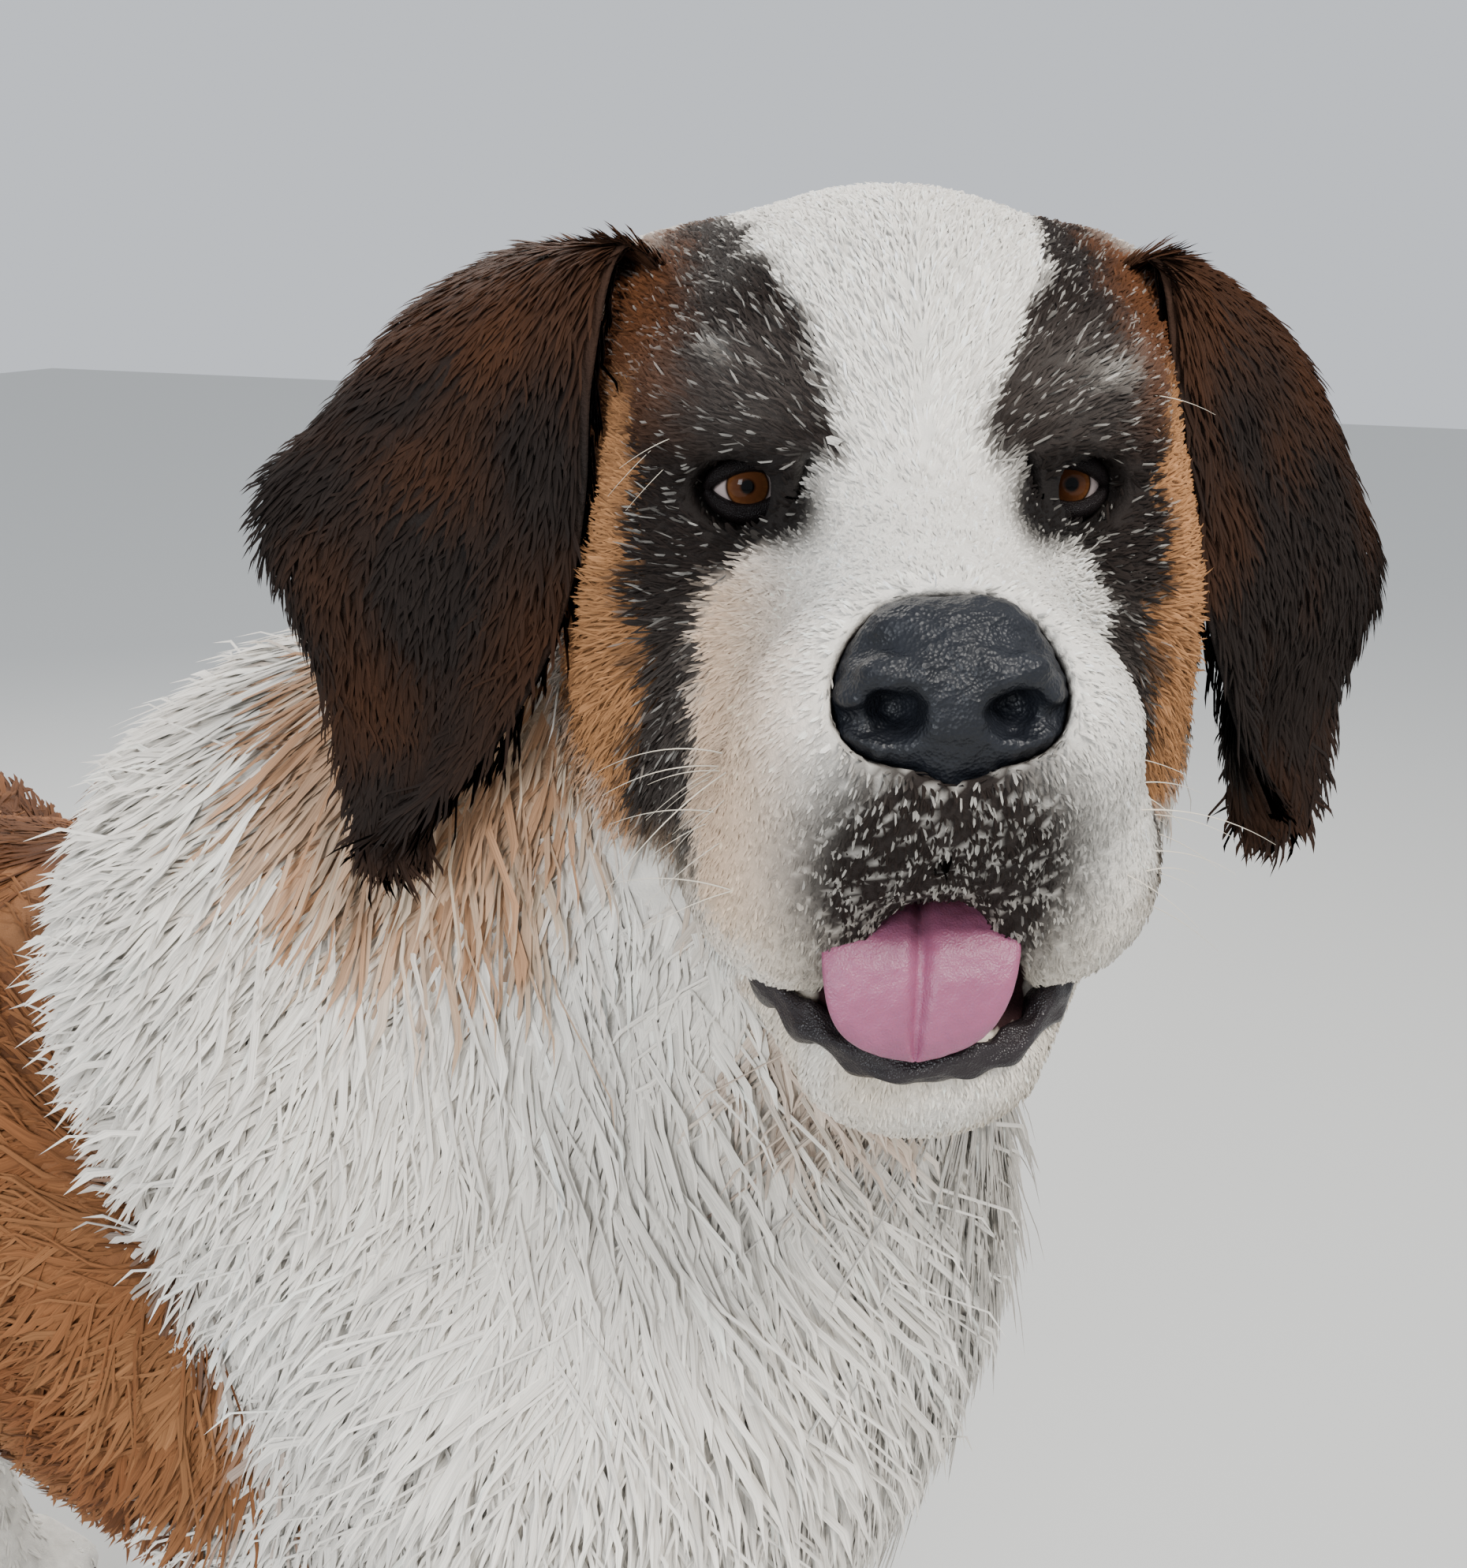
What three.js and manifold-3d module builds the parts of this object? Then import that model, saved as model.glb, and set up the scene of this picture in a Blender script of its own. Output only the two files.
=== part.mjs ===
// A standing Saint Bernard, life size, as a still model.
// Millimetres, +Z up, floor at z = 0. The body faces -Y, its left is +X, and the head is turned to its right.
import * as THREE from "three";
import { mergeVertices } from "three/addons/utils/BufferGeometryUtils.js";
import Module from "manifold-3d";

const wasm = await Module();
wasm.setup();

// Driving dimensions
const SHOULDER_HEIGHT = 790; // top of the flesh at the withers
const EYE_HEIGHT = 925;
const EYE_AHEAD = 236; // of the mid line between the forelegs' tops, with the head turned
const EYE_ASIDE = 115; // to the dog's right
const EYE_SPACING = 99; // between the pupils
const EYE_RADIUS = 12.5;
const EYE_DEPTH = 11; // of an eyeball's centre behind the line of the corners
const HEAD_TURN = 63; // degrees to the dog's right
const HEAD_RAISED = 2.7; // degrees, nose up
const RIB_HALF_WIDTH = 150;
const BODY_LENGTH = 830; // point of the chest to point of the buttock
const FORELEG_SPREAD = 106; // centre of a foreleg from the middle plane
const HINDLEG_SPREAD = 118;
const ELBOW_HEIGHT = 425;
const HOCK_HEIGHT = 222;
const PAW_LENGTH = 138;
const PAW_WIDTH = 100;
const COAT_BACK = 24; // depth of the coat from the flesh to its tips
const COAT_RUFF = 46;
const COAT_BREECHES = 52;
const COAT_LEG = 8;
const COAT_TAIL = 34;
const GAP = 0.3; // between nodes that meet
const CORE_SHARE = 0.45; // of the long coat's depth is filled by the core that its locks stand on
const LOCK_SPACING = 56; // between the roots of neighbouring locks on the neck and chest
const LOCK_SUNK = 7; // depth of a lock's root inside the core
const SLIVER = 0.1; // edges shorter than this are closed up after the cuts

// Landmarks of the body, on the middle plane or on the dog's left
const POINT = (x, y, z) => new THREE.Vector3(x, y, z);
const CHEST_Y = -205;
const BUTTOCK_Y = CHEST_Y + BODY_LENGTH;
const EYES = POINT(-EYE_ASIDE, -EYE_AHEAD, EYE_HEIGHT);
const WITHERS = POINT(0, 78, SHOULDER_HEIGHT - 76);
const SHOULDER = POINT(84, -104, 556);
const ELBOW = POINT(FORELEG_SPREAD + 2, -18, ELBOW_HEIGHT);
const WRIST = POINT(FORELEG_SPREAD - 4, -40, 160);
const FOREPAW = POINT(FORELEG_SPREAD - 2, -76, 38);
const HIP = POINT(98, BUTTOCK_Y - 132, 566);
const STIFLE = POINT(132, BUTTOCK_Y - 236, 410);
const HOCK = POINT(HINDLEG_SPREAD - 4, BUTTOCK_Y - 36, HOCK_HEIGHT);
const HINDPAW = POINT(HINDLEG_SPREAD, BUTTOCK_Y - 88, 38);
const TAIL_ROOT = POINT(0, BUTTOCK_Y - 26, 630);
const NAPE = POINT(-70, -214, 915); // middle of the skull

const onSide = (s, p) => POINT(s * p.x, p.y, p.z);
const between = (a, b, t) => a.clone().lerp(b, t);
const both = (make) => [make(1), make(-1)];

// Distance fields: each takes a point and gives its distance outside a form

// A round bar from a to b whose radius runs from ra to rb
function taper(a, b, ra, rb) {
  const span = b.clone().sub(a);
  const square = Math.max(span.lengthSq(), 1e-6);
  return (p) => {
    const t = THREE.MathUtils.clamp(p.clone().sub(a).dot(span) / square, 0, 1);
    return p.distanceTo(a.clone().addScaledVector(span, t)) - (ra + (rb - ra) * t);
  };
}

// An ellipsoid with radii r = [x, y, z], tipped about X so that its +Y end goes down by dip degrees
function egg(c, r, dip = 0) {
  const cos = Math.cos(THREE.MathUtils.degToRad(dip));
  const sin = Math.sin(THREE.MathUtils.degToRad(dip));
  return (p) => {
    const x = (p.x - c.x) / r[0];
    const dy = p.y - c.y;
    const dz = p.z - c.z;
    const y = (dy * cos - dz * sin) / r[1];
    const z = (dy * sin + dz * cos) / r[2];
    const near = Math.hypot(x, y, z);
    const slope = Math.hypot(x / r[0], y / r[1], z / r[2]);
    return slope < 1e-9 ? -Math.min(...r) : (near * (near - 1)) / slope;
  };
}

// The union of forms, with their creases filled over a width of k
function blend(k, ...fields) {
  return (p) => fields.map((f) => f(p)).reduce((a, b) => {
    const h = Math.max(k - Math.abs(a - b), 0) / k;
    return Math.min(a, b) - (h * h * k) / 4;
  });
}

// A round bar along a bent line, with a radius for each of its points
const limb = (k, points, radii) =>
  blend(k, ...points.slice(1).map((p, i) => taper(points[i], p, radii[i], radii[i + 1])));

const smooth = THREE.MathUtils.smoothstep;

// Depth of the coat round the trunk and neck: deepest on the ruff and chest, less along the back
function coatDepth(p) {
  const front = (1 - smooth(p.y, 40, 200)) * (1 - 0.5 * smooth(Math.abs(p.x), 60, 150) * (1 - smooth(p.z, 620, 720)));
  const breeches = smooth(p.y, BUTTOCK_Y - 150, BUTTOCK_Y - 20) * (1 - smooth(p.z, 560, 680));
  const deep = COAT_BACK + (COAT_RUFF - COAT_BACK) * front + (COAT_BREECHES - COAT_BACK) * breeches;
  const byHead = smooth(p.distanceTo(NAPE), 120, 300);
  return deep * (0.22 + 0.78 * byHead);
}
const coated = (field, share) => (p) => field(p) - share * coatDepth(p);

// A closed mesh from rows of points: each row is a ring, and the ends are closed by a point each
function closedRings(rows, start, end) {
  const sides = rows[0].length;
  const points = [start, ...rows.flat(), end];
  const at = (i, j) => 1 + i * sides + (j % sides);
  const index = [];
  for (let j = 0; j < sides; j++) {
    index.push(0, at(0, j + 1), at(0, j));
    index.push(points.length - 1, at(rows.length - 1, j), at(rows.length - 1, j + 1));
    for (let i = 0; i + 1 < rows.length; i++) {
      index.push(at(i, j), at(i, j + 1), at(i + 1, j + 1));
      index.push(at(i, j), at(i + 1, j + 1), at(i + 1, j));
    }
  }
  return solid(points, index);
}

function solid(points, index) {
  const made = new wasm.Manifold(
    new wasm.Mesh({
      numProp: 3,
      vertProperties: new Float32Array(points.flatMap((p) => [p.x, p.y, p.z])),
      triVerts: new Uint32Array(index),
    }),
  );
  if (made.volume() > 0) return made;
  const turned = [];
  for (let i = 0; i < index.length; i += 3) turned.push(index[i], index[i + 2], index[i + 1]);
  return solid(points, turned);
}

function fromGeometry(geometry, matrix) {
  const plain = geometry.clone();
  plain.deleteAttribute("normal");
  plain.deleteAttribute("uv");
  if (matrix) plain.applyMatrix4(matrix);
  const merged = mergeVertices(plain, 1e-4);
  const spots = merged.getAttribute("position");
  const points = Array.from({ length: spots.count }, (_, i) => new THREE.Vector3().fromBufferAttribute(spots, i));
  return solid(points, Array.from(merged.index.array));
}

// How far a ray from inside a field runs before it leaves the field
function reach(field, from, way, offset, longest) {
  let far = 0;
  for (let step = 0; step < 70 && far < longest; step++) {
    const d = field(from.clone().addScaledVector(way, far)) - offset;
    if (d > -0.05) break;
    far += Math.max(-d * 0.8, 0.3);
  }
  for (let step = 0; step < 4; step++) far -= 0.8 * (field(from.clone().addScaledVector(way, far)) - offset);
  return Math.min(Math.max(far, 1), longest);
}

// The surface of a field round a bent line: rays fan out at both ends and stand across the line between them
function shell(field, line, { rings, caps, sides, up, offset = 0, longest = 420 }) {
  const curve = new THREE.CatmullRomCurve3(line);
  const ray = (centre, along, tip, j) => {
    const side = new THREE.Vector3().crossVectors(along, up).normalize();
    const top = new THREE.Vector3().crossVectors(side, along).normalize();
    const turn = (2 * Math.PI * j) / sides;
    const out = side.multiplyScalar(Math.cos(turn)).addScaledVector(top, Math.sin(turn));
    const way = out.multiplyScalar(Math.cos(tip)).addScaledVector(along, Math.sin(tip)).normalize();
    return centre.clone().addScaledVector(way, reach(field, centre, way, offset, longest));
  };
  const ringAt = (u, tip) => {
    const centre = curve.getPointAt(u);
    const along = curve.getTangentAt(u);
    return Array.from({ length: sides }, (_, j) => ray(centre, along, tip, j));
  };
  const quarter = Math.PI / 2;
  const rows = [];
  for (let i = 1; i < caps; i++) rows.push(ringAt(0, -quarter * (1 - i / caps)));
  for (let i = 0; i <= rings; i++) rows.push(ringAt(i / rings, 0));
  for (let i = caps - 1; i > 0; i--) rows.push(ringAt(1, quarter * (1 - i / caps)));
  return closedRings(rows, ray(curve.getPointAt(0), curve.getTangentAt(0), -quarter, 0),
    ray(curve.getPointAt(1), curve.getTangentAt(1), quarter, 0));
}

const largest = (body) =>
  body.decompose().reduce((a, b) => (a.volume() > b.volume() ? a : b));

const FLOOR = fromGeometry(new THREE.BoxGeometry(3000, 3000, 200), new THREE.Matrix4().makeTranslation(0, 0, -100));

// Head, in its own frame: x to the dog's left, forward and z up, from the middle of the eyes
const headFrame = new THREE.Matrix4()
  .makeRotationZ(THREE.MathUtils.degToRad(-HEAD_TURN))
  .multiply(new THREE.Matrix4().makeRotationX(THREE.MathUtils.degToRad(-HEAD_RAISED)))
  .setPosition(EYES);
const headFrameBack = headFrame.clone().invert();
const H = (x, forward, z) => POINT(x, -forward, z);
const inHead = (x, forward, z) => H(x, forward, z).applyMatrix4(headFrame);
const headSpace = (field) => (p) => field(p.clone().applyMatrix4(headFrameBack));
const HALF_EYES = EYE_SPACING / 2;
const UP = POINT(0, 0, 1);

const skull = blend(30,
  egg(H(0, -78, 18), [88, 94, 74]),
  egg(H(0, -30, 34), [58, 50, 40]),
  ...both((s) => egg(H(s * 46, -14, 24), [30, 26, 20])),
  ...both((s) => egg(H(s * 72, -84, 32), [38, 46, 42])),
  ...both((s) => egg(H(s * 60, -52, -30), [44, 56, 52])),
  ...both((s) => egg(H(s * 56, -62, -82), [46, 58, 48])),
);
const muzzle = blend(22,
  taper(H(0, 6, -22), H(0, 88, -34), 40, 36),
  taper(H(0, 10, -52), H(0, 84, -62), 50, 40),
  ...both((s) => taper(H(s * 26, 92, -56), H(s * 30, 58, -92), 28, 34)),
  ...both((s) => taper(H(s * 34, 68, -98), H(s * 40, 30, -102), 26, 30)),
);
const headField = headSpace(blend(34, skull, muzzle));
const headLine = [inHead(0, -100, 0), inHead(0, -50, -17), inHead(0, 5, -38), inHead(0, 60, -62)];
const headShell = (offset) =>
  shell(headField, headLine, { rings: 8, caps: 4, sides: 20, up: UP, offset });

// Nose leather
const noseField = headSpace(blend(12,
  taper(H(-13, 104, -32), H(13, 104, -32), 19, 19),
  ...both((s) => egg(H(s * 17, 110, -40), [13, 16, 14])),
  taper(H(0, 104, -34), H(0, 100, -58), 18, 14),
));
const noseShell = (offset) =>
  shell(noseField, [inHead(0, 98, -38), inHead(0, 106, -38)], { rings: 1, caps: 4, sides: 18, up: UP, offset });

function nostril(side) {
  return fromGeometry(new THREE.SphereGeometry(1, 10, 6),
    new THREE.Matrix4().compose(
      inHead(side * 16, 126, -39),
      new THREE.Quaternion().setFromAxisAngle(UP, THREE.MathUtils.degToRad(-HEAD_TURN - side * 24)),
      POINT(7, 16, 5.5)));
}

// Mouth: the space between the hanging lips, where the tongue and the lower jaw lie
const mouthSpace = headSpace(blend(10,
  taper(H(0, 34, -126), H(0, 118, -126), 30, 25),
  taper(H(0, 30, -170), H(0, 118, -170), 44, 40),
));
const mouthShell = shell(mouthSpace, [inHead(0, 36, -142), inHead(0, 116, -142)],
  { rings: 4, caps: 3, sides: 16, up: UP });

const jawField = headSpace(blend(16,
  taper(H(0, 64, -158), H(0, 8, -136), 24, 36),
  ...both((s) => taper(H(s * 18, 66, -156), H(s * 34, 10, -134), 20, 26)),
));
const jawShell = (offset) =>
  shell(jawField, [inHead(0, 4, -138), inHead(0, 40, -148), inHead(0, 62, -156)],
    { rings: 4, caps: 4, sides: 18, up: UP, offset });

// Tongue: hangs out over the lower lip
const TONGUE_HALF_WIDTH = 28;
const TONGUE_HALF_THICKNESS = 5.5;
function tongueShell(offset) {
  const line = new THREE.CatmullRomCurve3([
    inHead(-2, 40, -116), inHead(-3, 66, -112), inHead(-4, 88, -116), inHead(-5, 97, -130), inHead(-5, 98, -146),
  ]);
  const across = inHead(1, 0, 0).sub(inHead(0, 0, 0));
  const steps = 9;
  const sides = 12;
  const rows = [];
  for (let i = 0; i <= steps; i++) {
    const t = i / steps;
    const top = new THREE.Vector3().crossVectors(line.getTangent(t), across).normalize();
    const round = Math.sqrt(1 - Math.max(0, (t - 0.62) / 0.38) ** 2.4) * 0.94 + 0.06;
    rows.push(Array.from({ length: sides }, (_, j) => {
      const turn = (2 * Math.PI * (j + 0.5)) / sides;
      const groove = 1 - 0.35 * Math.exp(-((Math.cos(turn) / 0.3) ** 2)) * (Math.sin(turn) > 0 ? 1 : 0);
      const deep = TONGUE_HALF_THICKNESS * groove * (0.4 + 0.6 * round) + offset;
      return line.getPoint(t)
        .addScaledVector(across, Math.cos(turn) * (TONGUE_HALF_WIDTH * round + offset))
        .addScaledVector(top, Math.sin(turn) * deep);
    }));
  }
  return closedRings(rows, line.getPoint(0), line.getPoint(1));
}

// Eyes and lids
const eyeBall = (side, radius) =>
  fromGeometry(new THREE.IcosahedronGeometry(radius, 1),
    new THREE.Matrix4().setPosition(inHead(side * HALF_EYES, -EYE_DEPTH, 0)));

// The room in front of an eyeball, between the lids
const SOCKET_RADII = [19, 17, 12.5];
const LID_RISE = 40;
const LID_DROP = 38;
const socket = (side) =>
  fromGeometry(new THREE.SphereGeometry(1, 12, 7),
    new THREE.Matrix4().compose(
      inHead(side * HALF_EYES, 6, 0),
      new THREE.Quaternion().setFromAxisAngle(UP, THREE.MathUtils.degToRad(-HEAD_TURN - side * 12)),
      POINT(...SOCKET_RADII)));

const mean = (row) => row.reduce((a, b) => a.add(b), POINT(0, 0, 0)).divideScalar(row.length);

// A lid: a bent bar over the eyeball, from the inner corner to the outer one, raised by rise degrees at its middle
function lid(side, rise) {
  const centre = H(side * HALF_EYES, -EYE_DEPTH, 0);
  const steps = 6;
  const sides = 5;
  const rows = [];
  for (let i = 0; i <= steps; i++) {
    const sweep = THREE.MathUtils.degToRad(-64 + (128 * i) / steps);
    const open = THREE.MathUtils.degToRad(rise * Math.cos(sweep * 1.25) - 4 * Math.sin(sweep));
    const way = POINT(Math.sin(sweep) * side, -Math.cos(sweep) * Math.cos(open), Math.sin(open)).normalize();
    const middle = centre.clone().addScaledVector(way, EYE_RADIUS + 1.2);
    const along = POINT(Math.cos(sweep) * side, Math.sin(sweep), 0);
    const across = new THREE.Vector3().crossVectors(along, way).normalize();
    const thick = 1.4 + 2.2 * Math.cos(sweep);
    rows.push(Array.from({ length: sides }, (_, j) => {
      const turn = (2 * Math.PI * j) / sides;
      return middle.clone()
        .addScaledVector(way, Math.cos(turn) * thick)
        .addScaledVector(across, Math.sin(turn) * thick * 1.5)
        .applyMatrix4(headFrame);
    }));
  }
  return closedRings(rows, mean(rows[0].map((p) => p.clone())), mean(rows[steps].map((p) => p.clone())));
}

// Ear: a folded flap that hangs from the side of the skull, cupped towards the cheek.
// Its edges run from the root, inside the skull, to the tip, in the head's frame.
const EAR_EDGES = {
  1: {
    front: [H(66, -52, 56), H(88, -46, 68), H(96, -38, 34), H(100, -34, -8), H(108, -36, -52), H(122, -44, -94),
      H(140, -58, -136)],
    back: [H(66, -112, 46), H(100, -118, 68), H(142, -112, 48), H(172, -104, 4), H(188, -96, -38), H(170, -82, -80),
      H(148, -66, -136)],
  },
  "-1": {
    front: [H(-66, -50, 56), H(-92, -44, 72), H(-106, -36, 34), H(-110, -34, -6), H(-118, -38, -52), H(-136, -46, -98),
      H(-170, -60, -140)],
    back: [H(-66, -112, 46), H(-104, -120, 74), H(-148, -114, 60), H(-186, -102, 20), H(-216, -92, -18), H(-196, -78, -76),
      H(-178, -64, -140)],
  },
};
const EAR_THICKNESS = 8.6;
function earShell(side, offset) {
  const front = new THREE.CatmullRomCurve3(EAR_EDGES[side].front);
  const back = new THREE.CatmullRomCurve3(EAR_EDGES[side].back);
  const across = 5;
  const down = 9;
  const face = (u, t, lift) => {
    const hung = Math.sin(Math.PI * Math.min(1, t * 1.15 + 0.02));
    const bulge = Math.sin(Math.PI * u) * hung * 17;
    const wave = 6 * Math.sin(2.4 * Math.PI * u + 2) * t;
    const p = front.getPoint(t).lerp(back.getPoint(t), u);
    p.x += side * (bulge + wave + lift);
    p.z += lift * 0.3;
    return p.applyMatrix4(headFrame);
  };
  const rows = [];
  for (let i = 0; i <= down; i++) {
    const t = (i / down) * 0.97;
    const thick = (EAR_THICKNESS / 2) * (1 - 0.55 * t) + offset;
    const ring = [];
    for (let j = 0; j <= across; j++) ring.push(face(j / across, t, thick));
    for (let j = across; j >= 0; j--) ring.push(face(j / across, t, -thick));
    rows.push(ring);
  }
  return closedRings(rows, mean(rows[0].map((p) => p.clone())), face(0.5, 1, 0));
}

// Trunk and neck
const SKULL_BASE = inHead(0, -118, -22);
const THROAT = inHead(0, -62, -112);
const trunkField = blend(60,
  egg(POINT(0, 130, 528), [RIB_HALF_WIDTH, 306, 162], -2),
  egg(POINT(0, CHEST_Y + 100, 560), [104, 100, 142], -14),
  ...both((s) => taper(onSide(s, POINT(62, 60, 696)), onSide(s, SHOULDER), 62, 70)),
  ...both((s) => taper(onSide(s, SHOULDER), onSide(s, ELBOW), 64, 54)),
  egg(WITHERS, [70, 118, 76], 14),
  egg(POINT(0, 345, 548), [126, 165, 124], 0),
  egg(POINT(0, BUTTOCK_Y - 128, 566), [126, 134, 114], 12),
);
const neckField = blend(50,
  taper(POINT(0, 0, 672), SKULL_BASE, 120, 70),
  taper(POINT(-2, -100, 628), THROAT, 94, 58),
  ...both((s) => egg(inHead(s * 50, -74, -106), [40, 52, 50])),
);
const frontField = blend(60, trunkField, neckField);
const trunkLine = [POINT(-16, -190, 868), POINT(-8, -168, 785), POINT(-2, -138, 705), POINT(0, -86, 632), POINT(0, -8, 578),
  POINT(0, 92, 553), POINT(0, 210, 545), POINT(0, 370, 546), POINT(0, BUTTOCK_Y - 140, 556)];
const trunkShell = (offset, share = CORE_SHARE) =>
  shell(coated(frontField, share), trunkLine, { rings: 18, caps: 3, sides: 20, up: POINT(1, 0, 0), offset });

// Legs
const forelegField = (s) => limb(26,
  [SHOULDER.clone().lerp(ELBOW, 0.5), ELBOW, between(ELBOW, WRIST, 0.45), WRIST, FOREPAW].map((p) => onSide(s, p)),
  [60, 56, 43, 38, 34].map((r) => r + COAT_LEG));
const forelegShell = (s, offset) =>
  shell(forelegField(s),
    [between(SHOULDER, ELBOW, 0.7), ELBOW, between(ELBOW, WRIST, 0.5), WRIST, between(WRIST, FOREPAW, 0.6)]
      .map((p) => onSide(s, p)),
    { rings: 9, caps: 2, sides: 14, up: POINT(0, -1, 0), offset });

// A paw: four toes side by side on a pad, pointing along -Y turned out by some degrees
function pawField(centre, toeOut) {
  const turn = new THREE.Matrix4().makeRotationZ(THREE.MathUtils.degToRad(toeOut)).setPosition(centre.x, centre.y, 0);
  const at = (x, forward, z) => POINT(x, -forward, z).applyMatrix4(turn);
  const toes = [-1.5, -0.5, 0.5, 1.5].map((k) => {
    const middle = Math.abs(k) < 1;
    return taper(at(k * PAW_WIDTH * 0.235, middle ? 14 : 6, 30), at(k * PAW_WIDTH * 0.25, middle ? 50 : 38, 17), 22, 20);
  });
  return blend(9, taper(at(0, -34, 32), at(0, 8, 32), 36, 35), ...toes);
}
const pawShell = (centre, toeOut, offset) => {
  const out = THREE.MathUtils.degToRad(toeOut);
  const ahead = POINT(Math.sin(out), -Math.cos(out), 0);
  const flat = POINT(centre.x, centre.y, 32);
  return shell(pawField(centre, toeOut), [flat.clone().addScaledVector(ahead, -PAW_LENGTH * 0.24),
    flat.clone().addScaledVector(ahead, PAW_LENGTH * 0.14)],
  { rings: 2, caps: 3, sides: 22, up: UP, offset });
};

const hindlegField = (s) => {
  const at = (x, y, z) => onSide(s, POINT(x, y, z));
  return blend(34,
    taper(onSide(s, HIP), onSide(s, STIFLE), 108 + COAT_BACK / 2, 70 + COAT_BACK / 2),
    taper(at(104, BUTTOCK_Y - 96, 550), at(116, BUTTOCK_Y - 92, 400), 90, 66),
    limb(20, [STIFLE, between(STIFLE, HOCK, 0.7), HOCK, between(HOCK, HINDPAW, 0.5), HINDPAW].map((p) => onSide(s, p)),
      [78, 50, 40, 35, 34].map((r) => r + COAT_LEG / 2)),
  );
};
const hindlegShell = (s, offset) =>
  shell(hindlegField(s),
    [POINT(104, BUTTOCK_Y - 140, 590), POINT(116, BUTTOCK_Y - 168, 500), POINT(126, BUTTOCK_Y - 176, 420),
      between(STIFLE, HOCK, 0.6), between(HOCK, HINDPAW, 0.06), between(HOCK, HINDPAW, 0.5), between(HOCK, HINDPAW, 0.8)]
      .map((p) => onSide(s, p)),
    { rings: 12, caps: 3, sides: 16, up: POINT(1, 0, 0), offset });

// Tail: hangs behind the thighs to the hocks
const tailLine = [TAIL_ROOT, POINT(1, BUTTOCK_Y + 16, 618), POINT(3, BUTTOCK_Y + 50, 550), POINT(8, BUTTOCK_Y + 64, 460),
  POINT(16, BUTTOCK_Y + 66, 360), POINT(24, BUTTOCK_Y + 74, 270), POINT(30, BUTTOCK_Y + 92, 190)];
const tailRadius = (t) => (34 - 14 * t) * Math.sqrt(1 - t ** 8 * 0.9);
const tailCoat = (t) => COAT_TAIL * Math.sin(Math.PI * Math.min(1, 0.12 + t * 0.82)) ** 0.8;
function tailShell(offset, share = CORE_SHARE) {
  const curve = new THREE.CatmullRomCurve3(tailLine);
  const steps = 12;
  const sides = 12;
  const rows = [];
  for (let i = 0; i <= steps; i++) {
    const t = i / steps;
    const along = curve.getTangent(t);
    const side = new THREE.Vector3().crossVectors(along, POINT(0, 1, 0)).normalize();
    const top = new THREE.Vector3().crossVectors(side, along).normalize();
    const radius = tailRadius(t) + share * tailCoat(t) + offset;
    rows.push(Array.from({ length: sides }, (_, j) => {
      const turn = (2 * Math.PI * j) / sides;
      return curve.getPoint(t)
        .addScaledVector(side, Math.cos(turn) * radius)
        .addScaledVector(top, Math.sin(turn) * radius);
    }));
  }
  return closedRings(rows, curve.getPoint(0), curve.getPoint(1).addScaledVector(curve.getTangent(1), 30));
}

// Locks of the long coat
let drawn = 20;
const random = (low, high) => {
  drawn = (drawn * 16807) % 2147483647;
  return low + (high - low) * (drawn / 2147483647);
};

function slopeAt(field, p) {
  const reach = 3;
  const along = (x, y, z) => field(POINT(p.x + x, p.y + y, p.z + z)) - field(POINT(p.x - x, p.y - y, p.z - z));
  return POINT(along(reach, 0, 0), along(0, reach, 0), along(0, 0, reach)).normalize();
}

// A flat tapered lock of diamond section. Its root lies sunk in the core of the field, it follows the lie over the
// core, swings aside by a bend, and its tip stands out by rise.
const LOCK_WIDTHS = [0.7, 1, 0.86, 0.52];
function lock(field, root, lie, { length, width, thick, rise, bend }) {
  const rows = [];
  const spot = root.clone();
  let start = null;
  for (let i = 0; i <= LOCK_WIDTHS.length; i++) {
    const t = i / LOCK_WIDTHS.length;
    const out = slopeAt(field, spot);
    spot.addScaledVector(out, (rise + LOCK_SUNK) * Math.sin((Math.PI / 2) * t) - LOCK_SUNK - field(spot));
    const aim = lie(spot);
    aim.addScaledVector(out, -aim.dot(out)).normalize();
    const side = new THREE.Vector3().crossVectors(aim, out).normalize();
    aim.addScaledVector(side, bend * (t - 0.3)).normalize();
    if (i === 0) start = spot.clone().addScaledVector(out, -4).addScaledVector(aim, -3);
    if (i < LOCK_WIDTHS.length) {
      const half = (width / 2) * LOCK_WIDTHS[i];
      const deep = (thick / 2) * LOCK_WIDTHS[i];
      rows.push([[half, 0], [0, deep], [-half, 0], [0, -deep]].map(([a, b]) =>
        spot.clone().addScaledVector(side, a).addScaledVector(out, b)));
      spot.addScaledVector(aim, length / LOCK_WIDTHS.length);
    }
  }
  return closedRings(rows, start, spot);
}

// The lie of the coat on the trunk and neck: away from the head, back along the body, and down
function trunkLie(p) {
  const away = p.clone().sub(NAPE).normalize();
  const back = smooth(p.y, -60, 160);
  return away.multiplyScalar(0.7 * (1 - back)).add(POINT(p.x * 0.0012, back * 0.9, -0.55 - 0.4 * (1 - back)));
}

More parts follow.
